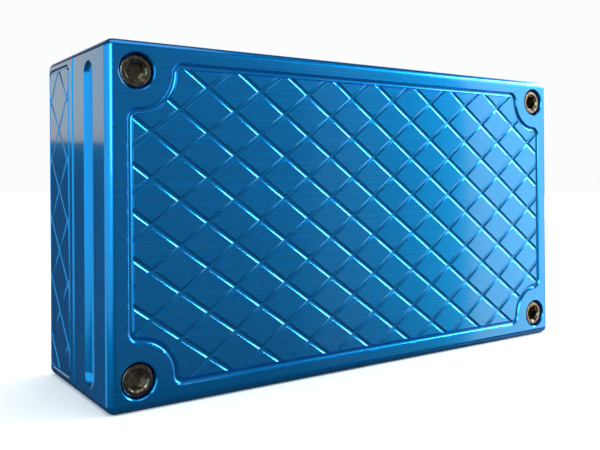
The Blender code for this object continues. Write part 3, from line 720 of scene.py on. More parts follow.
def rear_panels():
    """Fine diamond panels on the rear half's ends and underside, and the front's pattern on its face."""
    middle_y = sum(END_PANEL) / 2
    half_deep = (END_PANEL[1] - END_PANEL[0]) / 2
    half_tall = HALF_HEIGHT - END_MARGIN
    tools = fine_panel(facing("left", -HALF_WIDTH, middle_y, MIDDLE_Z), half_deep, half_tall)
    tools += fine_panel(facing("right", HALF_WIDTH, middle_y, MIDDLE_Z), half_deep, half_tall)
    tools += fine_panel(facing("underside", 0, middle_y, REAR_LOW.z), HALF_WIDTH - END_MARGIN, half_deep)
    face = rounded_rectangle(WIDTH - 2 * BORDER_INSET, HEIGHT - 2 * BORDER_INSET, 2 * PANEL_CORNER)
    matrix = facing("rear", 0, REAR_Y, MIDDLE_Z)
    return tools + panel(matrix, face, FRONT_PITCH, GROOVE_BALL, LATTICE_DEPTH, BORDER_DEPTH, GROOVE_LIP)


def rear_windows():
    """Windows from the pocket into the recesses, and room for the camera connector's latch."""
    low_y = REAR_LOW.y - OVERRUN
    seat_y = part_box("main_board")[0].y + 3 * TAP_CLEARANCE
    spans = []
    for port in PLUGS:
        low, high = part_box(f"{port}_shell")
        across = (low.x - WINDOW_MARGIN, high.x + WINDOW_MARGIN)
        spans.append((*across, POCKET_TOP - OVERRUN, POCKET_TOP + PLUG_WEB + OVERRUN))
    low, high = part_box("card_slot")
    tall = (low.z - WINDOW_MARGIN, high.z + WINDOW_MARGIN)
    spans.append((POCKET_END - OVERRUN, POCKET_END + CARD_WEB + OVERRUN, *tall))
    low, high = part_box("camera_connector_body")
    tall = (low.z - 2 * WINDOW_MARGIN, high.z + 2 * WINDOW_MARGIN)
    spans.append((-POCKET_END - LATCH_RELIEF, -POCKET_END + OVERRUN, *tall))
    return [tool(box("window", (a, low_y, c), (b, seat_y, d))) for a, b, c, d in spans]


def rear_case(material):
    """The rear half: panels, pocket, windows, and the standoffs that the board is screwed to."""
    half = case_block("rear_case", REAR_Y)
    pocket_depth = REAR_Y - REAR_WALL - REAR_LOW.y
    pocket = pit("pocket", POCKET_SIZE, POCKET_CORNER, pocket_depth, OPENING_LIP, POCKET_FLOOR_ROUND)
    hollows = [tool(pocket, facing("front", 0, REAR_LOW.y, MIDDLE_Z)), *reliefs(), *rear_windows()]
    combine(half, [*rear_panels(), *hollows])
    root = REAR_Y - REAR_WALL + OVERRUN
    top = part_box("main_board")[1].y + TAP_CLEARANCE
    tall = root - top
    edge = 0.25 * MM
    profile = [
        (0, tall),
        (STANDOFF_RADIUS - edge, tall),
        (STANDOFF_RADIUS, tall - edge),
        (STANDOFF_RADIUS, OVERRUN + 2 * edge),
        (STANDOFF_RADIUS + 2 * edge, OVERRUN),
        (STANDOFF_RADIUS + 2 * edge, 0),
        (0, 0),
    ]
    standoff = turned("standoff", profile, ROUND_STEPS)
    places = screw_places("board_screw")
    combine(half, [tool(standoff, facing("front", at.x, root, at.z)) for at in places], "UNION")
    taps = []
    for kind, surface in (("board_screw", top), ("case_screw", REAR_LOW.y)):
        low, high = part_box(f"{kind}_1")
        tip = high.y + 2 * TAP_CLEARANCE
        radius = SCREW_SIZES[kind]["shank"] + TAP_CLEARANCE
        mouth = radius + 2 * TAP_CLEARANCE
        profile = [
            (0, OVERRUN),
            (mouth + OVERRUN, OVERRUN),
            (radius, -(mouth - radius)),
            (radius, surface - tip),
            (0, surface - tip - radius / 2),
        ]
        mesh = turned("tap", profile, 24)
        taps += [tool(mesh, facing("front", at.x, surface, at.z)) for at in screw_places(kind)]
    combine(half, taps)
    add_piece("rear_case", taken(half), REAR, [material], ["rear_case_half"])


# Screws

SCREW_SIZES = {
    "case_screw": {
        "head": 1.78 * MM,
        "head_tall": 2.18 * MM,
        "crown": 0.2 * MM,
        "flare": 0.2 * MM,
        "shank": 1.09 * MM,
        "pitch": 0.4536 * MM,
        "hexagon": 1.98 * MM,
        "teeth": 36,
    },
    "board_screw": {
        "head": 2.25 * MM,
        "head_tall": 1.4 * MM,
        "crown": 0.75 * MM,
        "flare": 0.1 * MM,
        "shank": 1.2 * MM,
        "pitch": 0.45 * MM,
        "hexagon": 1.5 * MM,
        "teeth": 0,
    },
}
KNURL = 0.965
SOCKET_SHARE = 0.72
THREAD_ROWS = 6
THREAD_STEPS = 16


def threaded_rod(name, radius, pitch, top, bottom):
    """A threaded rod along local Z, with a plain neck at its top and a tapered tip."""
    root = radius - 0.54 * pitch
    rows = int((top - bottom) / pitch * THREAD_ROWS)
    rings = []
    for row in range(rows + 1):
        height = top - (top - bottom) * row / rows
        taper = min(1.0, (rows - row) / (1.5 * THREAD_ROWS)) if row > 2 * THREAD_ROWS else 1.0
        ring = []
        for step in range(THREAD_STEPS):
            turn = (row / THREAD_ROWS + step / THREAD_STEPS) % 1
            crest = root + (radius - root) * taper * (1 - abs(2 * turn - 1))
            reach = crest if row > THREAD_ROWS else root
            angle = 2 * math.pi * step / THREAD_STEPS
            ring.append((reach * math.cos(angle), reach * math.sin(angle), height))
        rings.append(ring)
    return loft(name, rings)


def screw_head(name, sizes):
    """The head, from its rounded crown down to its underside, with knurled sides if it has teeth."""
    radius, tall, crown = sizes["head"], sizes["head_tall"], sizes["crown"]
    lift = min(crown, 0.25 * MM) if sizes["teeth"] else tall - 0.3 * MM
    curve = []
    for step in range(7):
        angle = math.pi / 2 * step / 6
        curve.append((radius - crown + crown * math.sin(angle), -lift + lift * math.cos(angle)))
    edge = 0.1 * MM
    sides = [(radius, -lift - edge), (radius, -tall + edge), (radius - edge, -tall)]
    steps = 2 * sizes["teeth"] or ROUND_STEPS
    mesh = turned(name, [(0, 0), *curve, *sides, (0, -tall)], steps)
    if sizes["teeth"]:
        for vert in mesh.vertices:
            step = round(math.atan2(vert.co.y, vert.co.x) / (2 * math.pi) * steps)
            on_side = -tall + edge / 2 < vert.co.z < -lift - edge / 2
            if on_side and step % 2:
                vert.co.x *= KNURL
                vert.co.y *= KNURL
    return mesh


def screw_mesh(kind):
    sizes = SCREW_SIZES[kind]
    low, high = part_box(f"{kind}_1")
    length = high.y - low.y
    screw = tool(screw_head(kind, sizes))
    across = sizes["hexagon"] / math.sqrt(3)
    depth = sizes["head_tall"] * SOCKET_SHARE
    socket = turned("socket", [(0, OVERRUN), (across, OVERRUN), (across, -depth), (0, -1.25 * depth)], 6)
    cone = sizes["flare"]
    mouth = across + 0.8 * cone
    profile = [(0, OVERRUN), (mouth + OVERRUN, OVERRUN), (mouth - cone, -cone), (0, -cone)]
    flare = turned("flare", profile, ROUND_STEPS)
    combine(screw, [tool(socket), tool(flare)])
    inside = -sizes["head_tall"] + 0.2 * MM
    rod = threaded_rod("rod", sizes["shank"], sizes["pitch"], inside, -length)
    combine(screw, [tool(rod)], "UNION")
    return taken(screw)


def screws(kind, body, material):
    mesh = screw_mesh(kind)
    for number in SCREW_NUMBERS:
        node = f"{kind}_{number}"
        low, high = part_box(node)
        matrix = facing("front", (low.x + high.x) / 2, low.y, (low.z + high.z) / 2)
        add_piece(f"{node}_turned", mesh.copy(), body, [material], [node], matrix)


# Board and what it carries

BOARD_LOW, BOARD_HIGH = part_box("main_board")
BOARD_CORNER = 3.0 * MM
BOARD_HOLE = 1.375 * MM
PIN_PITCH = 2.54 * MM
PIN_COLUMNS = 20
PIN_ROWS = 2
PIN_HOLE = 0.5 * MM
CAPACITORS = range(1, 5)
PIN_PAD = 0.85 * MM
SCREW_PAD = 2.6 * MM
COPPER = 0.02 * MM

# Rows of small resistors and capacitors: X and Z of the first, the step along X and Z, how many there are,
# and whether they stand along Z
SMALL_ROWS = (
    (-9.4, 24.4, 0, 1.1, 2, False),
    (-5.2, 24.4, 0, 1.1, 2, False),
    (-9.4, 17.4, 4.2, 0, 2, False),
    (13.0, 23.2, 1.4, 0, 3, True),
    (13.0, 20.4, 1.4, 0, 2, True),
    (13.0, 17.8, 1.4, 0, 2, True),
    (-14.2, 29.3, 0, 0, 1, False),
    (-2.6, 29.6, 1.8, 0, 4, False),
    (6.4, 29.6, 1.8, 0, 3, False),
    (-24.4, 21.6, 0, -2.0, 3, True),
    (-25.8, 21.6, 0, -2.0, 2, True),
    (-20.6, 13.4, 2.0, 0, 3, False),
    (-12.4, 13.4, 0, 0, 1, False),
    (28.4, 26.2, 0, 1.2, 2, False),
    (29.4, 12.6, 0, 0, 1, True),
)


class Assembly:
    """Closed shapes gathered into one piece, each with a material of its own."""

    def __init__(self):
        self.bm = bmesh.new()
        self.materials = []

    def add(self, mesh, material, matrix=None):
        if material not in self.materials:
            self.materials.append(material)
        if matrix:
            mesh.transform(matrix)
        first = len(self.bm.faces)
        self.bm.from_mesh(mesh)
        self.bm.faces.ensure_lookup_table()
        for face in self.bm.faces[first:]:
            face.material_index = self.materials.index(material)
        bpy.data.meshes.remove(mesh)

    def piece(self, name, body, nodes=(), matrix=None):
        add_piece(name, mesh_from(name, self.bm), body, self.materials, nodes, matrix)


def slab(across, up, tall, corner, edge, at=(0, 0, 0), steps=4):
    """A rounded block that stands on local Z, chamfered at its foot and its top."""
    levels = [(-edge, 0), (0, edge), (0, tall - edge), (-edge, tall)]
    mesh = loft("slab", rings_of((across, up), corner, levels, steps))
    mesh.transform(Matrix.Translation(at))
    return mesh


def washer(inner, outer, tall, at=(0, 0, 0), steps=20):
    bm = bmesh.new()
    profile = [(inner, 0), (outer, 0), (outer, tall), (inner, tall)]
    rings = []
    for step in range(steps):
        angle = 2 * math.pi * step / steps
        rings.append([bm.verts.new((r * math.cos(angle), r * math.sin(angle), h)) for r, h in profile])
    skin(bm, rings, True)
    mesh = mesh_from("washer", bm)
    mesh.transform(Matrix.Translation(at))
    return mesh


def strip(path, width, tall, closed=False):
    """A flat strip along a path in local X and Y."""
    profile = [(-width / 2, 0), (width / 2, 0), (width / 2, tall), (-width / 2, tall)]
    return sweep("strip", path, profile, closed)


def on_board(node):
    """Where a board part stands, facing forward, and its size across, up and out of the board."""
    low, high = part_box(node)
    size = high - low
    matrix = facing("front", (low.x + high.x) / 2, high.y, (low.z + high.z) / 2)
    return matrix, (size.x, size.z, size.y)


def header_places():
    """X and Z of the header's pins."""
    middle = centre_of("pin_header")
    for row in range(PIN_ROWS):
        for column in range(PIN_COLUMNS):
            x = middle.x + (column - (PIN_COLUMNS - 1) / 2) * PIN_PITCH
            yield x, middle.z + (row - (PIN_ROWS - 1) / 2) * PIN_PITCH


def main_board(mask):
    tall = BOARD_HIGH.y - BOARD_LOW.y
    size = BOARD_HIGH - BOARD_LOW
    matrix = facing("front", 0, BOARD_HIGH.y, MIDDLE_Z)
    board = tool(slab(size.x, size.z, tall, BOARD_CORNER, 0.04 * MM, steps=10), matrix)
    through = drill("through", BOARD_HOLE, -OVERRUN, tall + OVERRUN)
    pin_hole = drill("pin_hole", PIN_HOLE, -OVERRUN, tall + OVERRUN, 12)
    holes = [tool(pin_hole, facing("front", x, BOARD_HIGH.y, z)) for x, z in header_places()]
    for at in screw_places("board_screw"):
        holes.append(tool(through, facing("front", at.x, BOARD_HIGH.y, at.z)))
    combine(board, holes)
    add_piece("circuit_board", taken(board), REAR, [mask], ["main_board"], matrix)


def trace_paths():
    """Copper tracks between the parts, as X and Z in millimetres, in fans with 45 degree bends."""
    for index in range(18):
        x = -21.59 + 2.54 * index
        near = -2.2 + 0.72 * index
        level = 11.6 + 0.08 * min(index, 17 - index)
        bend = min(1.6, abs(near - x))
        side = math.copysign(bend, near - x)
        yield [(x, 11.1), (x, level), (x + side * 0.3, level + 0.3 * bend)]
    for index in range(9):
        z = 18.6 + 0.5 * index
        yield [(-11.2, z), (-8.4, z), (-7.4, z + 0.4), (-2.8, z + 0.4)]
    for index in range(8):
        z = 15.6 + 0.55 * index
        yield [(10.8, z), (12.2, z), (13.4, z + 0.7), (19.2, z + 0.7)]
    for index in range(6):
        z = 14.6 + 0.7 * index
        yield [(-28.3, z + 1.2), (-27.2, z + 1.2), (-26.0, z), (-23.4, z)]
    for index in range(4):
        x = -9.8 + 0.6 * index
        yield [(x, 30.5), (x, 29.4), (x + 3.0, 26.4), (x + 3.0, 23.2)]
    for index in range(10):
        x = 15.8 + 0.5 * index
        yield [(x, 28.4), (x, 27.9 - 0.06 * index), (x - 1.4, 26.5 - 0.06 * index), (x - 1.4, 24.6)]


def board_copper(track, tin, ink):
    """Tracks under the solder mask, rings round the holes, solder at the pins, and printed outlines."""
    front = Assembly()
    surface = BOARD_LOW.y
    for path in trace_paths():
        points = [(x * MM, z * MM - MIDDLE_Z) for x, z in path]
        front.add(strip(points, 0.22 * MM, COPPER), track, facing("front", 0, surface, MIDDLE_Z))
    for index in range(24):
        x = (-23.4 + 2.03 * index) * MM
        z = (12.4 + 0.5 * (index % 3)) * MM
        front.add(washer(0.12 * MM, 0.28 * MM, 1.5 * COPPER, steps=12), tin, facing("front", x, surface, z))
    for node in ("processor", "wireless_shield", "power_chip", "inductor_1", "inductor_2", "crystal"):
        matrix, (across, up, _) = on_board(node)
        outline = rounded_rectangle(across + 0.8 * MM, up + 0.8 * MM, 0.3 * MM, 3)
        matrix.translation.y = surface
        front.add(strip(outline, 0.12 * MM, COPPER, True), ink, matrix)
    front.piece("board_tracks_and_print", REAR)
    rings = Assembly()
    sides = (("front", surface), ("rear", BOARD_HIGH.y))
    for x, z in header_places():
        for face, y in sides:
            rings.add(washer(PIN_HOLE, PIN_PAD, COPPER), tin, facing(face, x, y, z))
        profile = [(0, 0), (0.8 * MM, 0), (0.55 * MM, 0.2 * MM), (0.4 * MM, 0.65 * MM), (0, 0.65 * MM)]
        rings.add(turned("solder", profile, 12), tin, facing("rear", x, BOARD_HIGH.y + COPPER, z))
    for at in screw_places("board_screw"):
        for face, y in sides:
            rings.add(washer(BOARD_HOLE, SCREW_PAD, COPPER, steps=40), tin, facing(face, at.x, y, at.z))
    rings.piece("board_pads_and_solder", REAR)


def two_ended(assembly, matrix, size, middle, ends, share=0.25):
    """A block with a metal end at each side, as small parts have."""
    across, up, tall = size
    inner = across * (1 - 2 * share) + 0.04 * MM
    assembly.add(slab(inner, up * 0.95, tall * 0.96, 0.08 * up, 0.04 * up), middle, matrix)
    for side in (-1, 1):
        at = (side * across * (1 - share) / 2, 0, 0)
        assembly.add(slab(across * share, up, tall, 0.1 * up, 0.08 * up, at), ends, matrix)


def small_places():
    for x, z, step_x, step_z, count, standing in SMALL_ROWS:
        for index in range(count):
            yield x + index * step_x, z + index * step_z, standing


def small_parts(ceramic, epoxy, tin):
    assembly = Assembly()
    for index, (x, z, standing) in enumerate(small_places()):
        matrix = facing("front", x * MM, BOARD_LOW.y, z * MM)
        if standing:
            matrix = matrix @ Matrix.Rotation(math.pi / 2, 4, "Z")
        resistor = index % 3 == 1
        size = (1.0 * MM, 0.5 * MM, (0.35 if resistor else 0.5) * MM)
        two_ended(assembly, matrix, size, epoxy if resistor else ceramic, tin)
    assembly.piece("small_parts", REAR)


def drilled(mesh, radius, depth, places, top, steps=24):
    """The mesh with shallow round pits in its top."""
    body = tool(mesh)
    mesh = drill("pit", radius, -depth, OVERRUN, steps)
    combine(body, [tool(mesh, Matrix.Translation((x, y, top))) for x, y in places])
    return taken(body)


def processor(epoxy, mask, tin):
    matrix, (across, up, tall) = on_board("processor")
    assembly = Assembly()
    base = 0.4 * tall
    assembly.add(slab(across, up, base, 0.3 * MM, 0.04 * MM), mask)
    body = slab(across - MM, up - MM, tall - base, 0.6 * MM, 0.12 * MM, (0, 0, base))
    mark = [(-across / 2 + 1.5 * MM, up / 2 - 1.5 * MM)]
    assembly.add(drilled(body, 0.45 * MM, 0.08 * MM, mark, tall), epoxy)
    for index in range(12):
        for side in (-1, 1):
            at = ((index - 5.5) * 0.9 * MM, side * (up - 0.5 * MM) / 2, base)
            assembly.add(slab(0.5 * MM, 0.25 * MM, 0.02 * MM, 0.05 * MM, 0.005 * MM, at), tin)
    assembly.piece("processor_package", REAR, ["processor"], matrix)


def thermal_pad(silicone):
    matrix, (across, up, tall) = on_board("thermal_pad")
    bulge = 0.12 * MM
    levels = [(-2 * bulge, 0), (-bulge / 2, bulge), (0, tall / 2), (-bulge / 2, tall - bulge)]
    levels.append((-2 * bulge, tall))
    mesh = loft("pad", rings_of((across, up), 0.5 * MM, levels))
    add_piece("thermal_pad_sheet", mesh, REAR, [silicone], ["thermal_pad"], matrix)


def wireless_shield(steel):
    matrix, (across, up, tall) = on_board("wireless_shield")
    assembly = Assembly()
    assembly.add(slab(across, up, 0.3 * tall, 0.5 * MM, 0.06 * MM), steel)
    inset = 0.3 * MM
    can = tool(slab(across - inset, up - inset, 0.8 * tall, 0.7 * MM, 0.14 * MM, (0, 0, 0.2 * tall)))
    vent = drill("vent", 0.3 * MM, -0.12 * MM, OVERRUN, 16)
    vents = []
    for column in range(5):
        for row in range(4):
            at = ((column - 2) * 1.9 * MM, (row - 1.5) * 1.9 * MM, tall)
            vents.append(tool(vent, Matrix.Translation(at)))
    for side in (-1, 1):
        for place in (-0.3, 0.3):
            low = (across * place - 0.4 * MM, side * up / 2 - 0.35 * MM, 0.45 * tall)
            high = (across * place + 0.4 * MM, side * up / 2 + 0.35 * MM, 0.6 * tall)
            vents.append(tool(box("catch", low, high)))
    combine(can, vents)
    assembly.add(taken(can), steel)
    assembly.piece("wireless_shield_can", REAR, ["wireless_shield"], matrix)


def power_chip(epoxy, tin):
    matrix, (across, up, tall) = on_board("power_chip")
    assembly = Assembly()
    body = slab(across - 0.12 * MM, up - 0.12 * MM, tall, 0.12 * MM, 0.05 * MM)
    mark = [(-across / 2 + 0.7 * MM, up / 2 - 0.7 * MM)]
    assembly.add(drilled(body, 0.25 * MM, 0.06 * MM, mark, tall, 20), epoxy)
    for quarter in range(4):
        turn = Matrix.Rotation(math.pi / 2 * quarter, 4, "Z")
        for index in range(6):
            at = ((index - 2.5) * 0.5 * MM, up / 2 - 0.15 * MM, 0)
            assembly.add(slab(0.25 * MM, 0.3 * MM, 0.2 * MM, 0.04 * MM, 0.02 * MM, at), tin, turn)
    assembly.piece("power_chip_package", REAR, ["power_chip"], matrix)


def crystal(steel, ceramic):
    matrix, (across, up, tall) = on_board("crystal")
    assembly = Assembly()
    assembly.add(slab(across, up, 0.55 * tall, 0.2 * MM, 0.03 * MM), ceramic)
    inset = 0.4 * MM
    rim = slab(across - inset, up - inset, 0.15 * tall, 0.25 * MM, 0.02 * MM, (0, 0, 0.53 * tall))
    assembly.add(rim, steel)
    lid = slab(across - 2 * inset, up - 2 * inset, 0.42 * tall, 0.25 * MM, 0.08 * MM, (0, 0, 0.58 * tall))
    assembly.add(lid, steel)
    assembly.piece("crystal_can", REAR, ["crystal"], matrix)


def status_led(clear, cream, tin):
    matrix, (across, up, tall) = on_board("status_led")
    assembly = Assembly()
    two_ended(assembly, matrix, (across, up, 0.45 * tall), cream, tin, 0.2)
    at = (0, 0, 0.35 * tall)
    assembly.add(slab(0.62 * across, 0.9 * up, 0.65 * tall, 0.15 * MM, 0.1 * MM, at), clear, matrix)
    assembly.piece("status_led_chip", REAR, ["status_led"])


def inductors(ferrite, tin):
    for number in (1, 2):
        node = f"inductor_{number}"
        matrix, (across, up, tall) = on_board(node)
        assembly = Assembly()
        body = slab(0.94 * across, up, tall, 0.45 * MM, 0.15 * MM)
        assembly.add(drilled(body, 0.85 * MM, 0.08 * MM, [(0, 0)], tall, 32), ferrite)
        for side in (-1, 1):
            at = (side * 0.43 * across, 0, 0)
            end = slab(0.14 * across, 0.55 * up, 0.4 * tall, 0.1 * MM, 0.06 * MM, at)
            assembly.add(end, tin)
        assembly.piece(f"{node}_core", REAR, [node], matrix)


def capacitors(ceramic, tin):
    for number in CAPACITORS:
        node = f"capacitor_{number}"
        matrix, size = on_board(node)
        assembly = Assembly()
        two_ended(assembly, matrix, size, ceramic, tin, 0.22)
        assembly.piece(f"{node}_chip", REAR, [node])


PORT_CUTS = {"data_port": 0.6 * MM, "power_port": 0.6 * MM, "video_port": 0.9 * MM}
PORT_CONTACTS = {"data_port": 5, "power_port": 5, "video_port": 9}
SHELL_WALL = 0.25 * MM


def mouth_outline(width, tall, cut, inset):
    """A port's mouth, with two corners cut off on the side of the board, which is local +Y."""
    u, v = width / 2 - inset, tall / 2 - inset
    run = cut - 0.4 * inset
    return [(-u, -v), (u, -v), (u, v - run), (u - run, v), (run - u, v), (-u, v - run)]


def mouth_loft(name, width, tall, cut, levels):
    rings = []
    for inset, height in levels:
        rings.append([(u, v, height) for u, v in mouth_outline(width, tall, cut, inset)])
    return loft(name, rings)


def port_shell(port, steel):
    """A folded shell with a flared mouth, two spring windows and the seam of its fold."""
    node = f"{port}_shell"
    low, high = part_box(node)
    width, tall, deep = high - low
    cut = PORT_CUTS[port]
    edge = 0.05 * MM
    levels = [(edge, 0), (0, edge), (0, deep - edge), (edge, deep)]
    shell = tool(mouth_loft("shell", width, tall, cut, levels))
    back = 0.3 * MM
    levels = [(SHELL_WALL, back), (SHELL_WALL, deep - 0.3 * MM), (0.6 * SHELL_WALL, deep)]
    levels.append((0.5 * SHELL_WALL, deep + OVERRUN))
    cuts = [tool(mouth_loft("hollow", width, tall, cut, levels))]
    for side in (-1, 1):
        middle = side * width / 4
        window_low = (middle - 0.4 * MM, -tall, 0.35 * deep)
        window_high = (middle + 0.4 * MM, 0, 0.7 * deep)
        cuts.append(tool(box("window", window_low, window_high)))
    seam_low = (-0.04 * MM, -tall, -OVERRUN)
    seam_high = (0.04 * MM, -tall / 2 + 0.6 * SHELL_WALL, deep + OVERRUN)
    cuts.append(tool(box("seam", seam_low, seam_high)))
    combine(shell, cuts)
    assembly = Assembly()
    assembly.add(taken(shell), steel)
    for side in (-1, 1):
        at = (side * width / 4, -tall / 2 + SHELL_WALL / 2, 0.42 * deep)
        spring = slab(0.5 * MM, 0.12 * MM, 0.26 * deep, 0.04 * MM, 0.03 * MM, at)
        assembly.add(spring, steel)
    matrix = facing("top", (low.x + high.x) / 2, (low.y + high.y) / 2, low.z)
    assembly.piece(f"{port}_folded_shell", REAR, [node], matrix)


def port_core(port, plastic, gold):
    node = f"{port}_core"
    low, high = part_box(node)
    width, tall, deep = high - low
    shell_low, shell_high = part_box(f"{port}_shell")
    base = (shell_high.z - shell_low.z) / 4
    blade = (shell_high.y - shell_low.y) / 4
    assembly = Assembly()
    assembly.add(slab(width, tall, base, 0.15 * MM, 0.08 * MM), plastic)
    assembly.add(slab(0.85 * width, blade, deep - base / 2, 0.12 * MM, 0.08 * MM, (0, 0, base / 2)), plastic)
    count = PORT_CONTACTS[port]
    pitch = 0.75 * width / count
    for index in range(count):
        for side in (-1, 1):
            at = ((index - (count - 1) / 2) * pitch, side * blade / 2, base)
            contact = slab(0.5 * pitch, 0.06 * MM, deep - base - 0.3 * MM, 0.02 * MM, 0.01 * MM, at)
            assembly.add(contact, gold)
    matrix = facing("top", (low.x + high.x) / 2, (low.y + high.y) / 2, low.z)
    assembly.piece(f"{port}_blade", REAR, [node], matrix)


# The middles of the card slot's springs, as shares of its height
SPRINGS = (-0.28, 0.02, 0.3)


def card_slot(steel, plastic, gold):
    """A steel cover over a plastic frame, open at the right, with spring windows and a finger notch."""
    matrix, (across, up, tall) = on_board("card_slot")
    wall = 0.3 * MM
    floor_low, roof = wall, tall - wall
    half_open = 5.65 * MM
    hollow = box("hollow", (-across / 2 + wall, -half_open, floor_low), (across, half_open, roof))
    cover = tool(slab(across, up, tall - 0.15 * MM, 0.4 * MM, 0.08 * MM, (0, 0, 0.15 * MM)))
    cuts = [tool(hollow)]
    for place in SPRINGS:
        low = (-0.32 * across, place * up - 0.7 * MM, roof - OVERRUN)
        high = (0.02 * across, place * up + 0.7 * MM, tall + OVERRUN)
        cuts.append(tool(box("window", low, high)))
    notch = slab(3.0 * MM, 5.6 * MM, OVERRUN + wall, 0.9 * MM, 0.01 * MM, (across / 2, 0, roof - 0.1 * MM))
    cuts.append(tool(notch))
    combine(cover, cuts)
    assembly = Assembly()
    assembly.add(taken(cover), steel)
    assembly.add(slab(across - 0.3 * MM, up - 0.3 * MM, 0.28 * MM, 0.4 * MM, 0.04 * MM), plastic)
    for place in SPRINGS:
        at = (-0.14 * across, place * up, roof + 0.05 * MM)
        assembly.add(slab(0.3 * across, 0.8 * MM, 0.12 * MM, 0.3 * MM, 0.03 * MM, at), steel)
    for index in range(8):
        at = (-0.3 * across, (index - 3.5) * 1.1 * MM, floor_low - 0.02 * MM)
        assembly.add(slab(2.4 * MM, 0.5 * MM, 0.08 * MM, 0.1 * MM, 0.02 * MM, at), gold)
    assembly.piece("card_slot_cover", REAR, ["card_slot"], matrix)


def memory_card(plastic, gold):
    """A small card with a cut corner, a nick, a thumb ridge at its outer end, and contacts behind."""
    matrix, (across, up, tall) = on_board("memory_card")
    body_low, body_high = COPPER, tall - 0.06 * MM
    inner, side = -across / 2, -up / 2
    corner, nick_start, nick_end, nick = 1.4 * MM, 5.8 * MM, 8.0 * MM, 0.7 * MM
    outline = [
        *arc((-inner - 0.5 * MM, -side - 0.5 * MM), 0.5 * MM, 0, 90, 4),
        *arc((inner + 0.4 * MM, -side - 0.4 * MM), 0.4 * MM, 90, 180, 4),
        (inner, side + corner),
        (inner + corner, side),
        (inner + nick_start, side),
        (inner + nick_start + nick, side + nick),
        (inner + nick_end, side + nick),
        (inner + nick_end, side),
        *arc((-inner - 0.5 * MM, side + 0.5 * MM), 0.5 * MM, 270, 360, 4),
    ]
    shrink = 1 - 0.012
    levels = ((shrink, body_low), (1, body_low + 0.07 * MM), (1, body_high - 0.07 * MM), (shrink, body_high))
    assembly = Assembly()
    rings = [[(u * scale, v * scale, height) for u, v in outline] for scale, height in levels]
    assembly.add(loft("card", rings), plastic)
    ridge = slab(0.7 * MM, 0.8 * up, 0.12 * MM, 0.3 * MM, 0.05 * MM, (-inner - 0.9 * MM, 0, tall - 0.12 * MM))
    assembly.add(ridge, plastic)
    for index in range(8):
        at = (inner + 2.2 * MM, (index - 3.2) * 1.1 * MM, 0)
        assembly.add(slab(2.9 * MM, 0.75 * MM, 2 * COPPER, 0.1 * MM, 0.005 * MM, at), gold)
    assembly.piece("memory_card_body", "memory_card", ["memory_card"], matrix)


def camera_connector(cream, plastic, tin):
    matrix, (across, up, tall) = on_board("camera_connector_body")
    end_wall = 0.8 * MM
    slot_deep = 0.7 * across
    half_open = up / 2 - end_wall
    low = (-across / 2 - OVERRUN, -half_open, tall / 4)
    high = (-across / 2 + slot_deep, half_open, 3 * tall / 4)
    cuts = [tool(box("mouth", low, high))]
    count = 22
    pitch = 2 * half_open / count
    for index in range(count):
        middle = (index - (count - 1) / 2) * pitch
        low = (-0.3 * across, middle - 0.15 * pitch, tall - 0.15 * MM)
        high = (across, middle + 0.15 * pitch, tall + OVERRUN)
        cuts.append(tool(box("slit", low, high)))
    body = tool(slab(across, up, tall, 0.25 * MM, 0.08 * MM))
    combine(body, cuts)
    assembly = Assembly()
    assembly.add(taken(body), cream)
    for index in range(count):
        at = (across / 2, (index - (count - 1) / 2) * pitch, 0)
        assembly.add(slab(0.6 * MM, 0.4 * pitch, 0.15 * MM, 0.05 * MM, 0.02 * MM, at), tin)
    for side in (-1, 1):
        at = (across / 4, side * (up / 2 - 0.4 * MM), 0)
        assembly.add(slab(1.0 * MM, 0.9 * MM, 0.2 * MM, 0.1 * MM, 0.02 * MM, at), tin)
    assembly.piece("camera_connector_housing", REAR, ["camera_connector_body"], matrix)

    node = "camera_connector_latch"
    matrix, (across, up, tall) = on_board(node)
    bar = 0.9 * MM
    reach = across - 1.1 * bar
    assembly = Assembly()
    at = (-across / 2 + bar / 2, 0, 0)
    assembly.add(slab(0.9 * bar, up - 1.2 * MM, tall, 0.2 * MM, 0.12 * MM, at), plastic)
    for side in (-1, 1):
        at = (-across / 2 + bar / 2, side * (up / 2 - 0.9 * MM), 0.08 * tall)
        assembly.add(slab(bar, 1.8 * MM, 0.84 * tall, 0.3 * MM, 0.12 * MM, at), plastic)
    thick = tall / 2 - 2 * SEAT_GAP
    at = (across / 2 - reach / 2, 0, (tall - thick) / 2)
    wide = 2 * half_open - 4 * SEAT_GAP
    assembly.add(slab(reach, wide, thick, 0.15 * MM, 0.06 * MM, at), plastic)
    assembly.piece("camera_latch_bar", "camera_latch", [node], matrix)


def pin_header(plastic, gold):
    low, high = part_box("pin_header")
    assembly = Assembly()
    top = BOARD_LOW.y - SEAT_GAP
    tall = high.z - low.z
    for column in range(PIN_COLUMNS):
        x = low.x + (column + 0.5) * PIN_PITCH
        block = slab(PIN_PITCH, tall, PIN_PITCH, 0.4 * MM, 0.12 * MM, steps=1)
        assembly.add(block, plastic, facing("front", x, top, (low.z + high.z) / 2))
    length = high.y - low.y
    for x, z in header_places():
        rings = []
        for half, height in ((0.16, 0), (0.32, 0.3), (0.32, length / MM - 0.5), (0.15, length / MM)):
            corners = ((half, half), (-half, half), (-half, -half), (half, -half))
            rings.append([(u * MM, v * MM, height * MM) for u, v in corners])
        assembly.add(loft("pin", rings), gold, facing("front", x, high.y, z))
    assembly.piece("pin_header_strip", REAR, ["pin_header"])


# Stage, lights and camera


FLOOR_REACH = 30.0
ROOM = (1.2, 1.205, 1.21)
BEHIND = (0.97, 0.975, 0.98)
DIM = (0.04, 0.04, 0.04)
FLOOR_TONE = 0.8


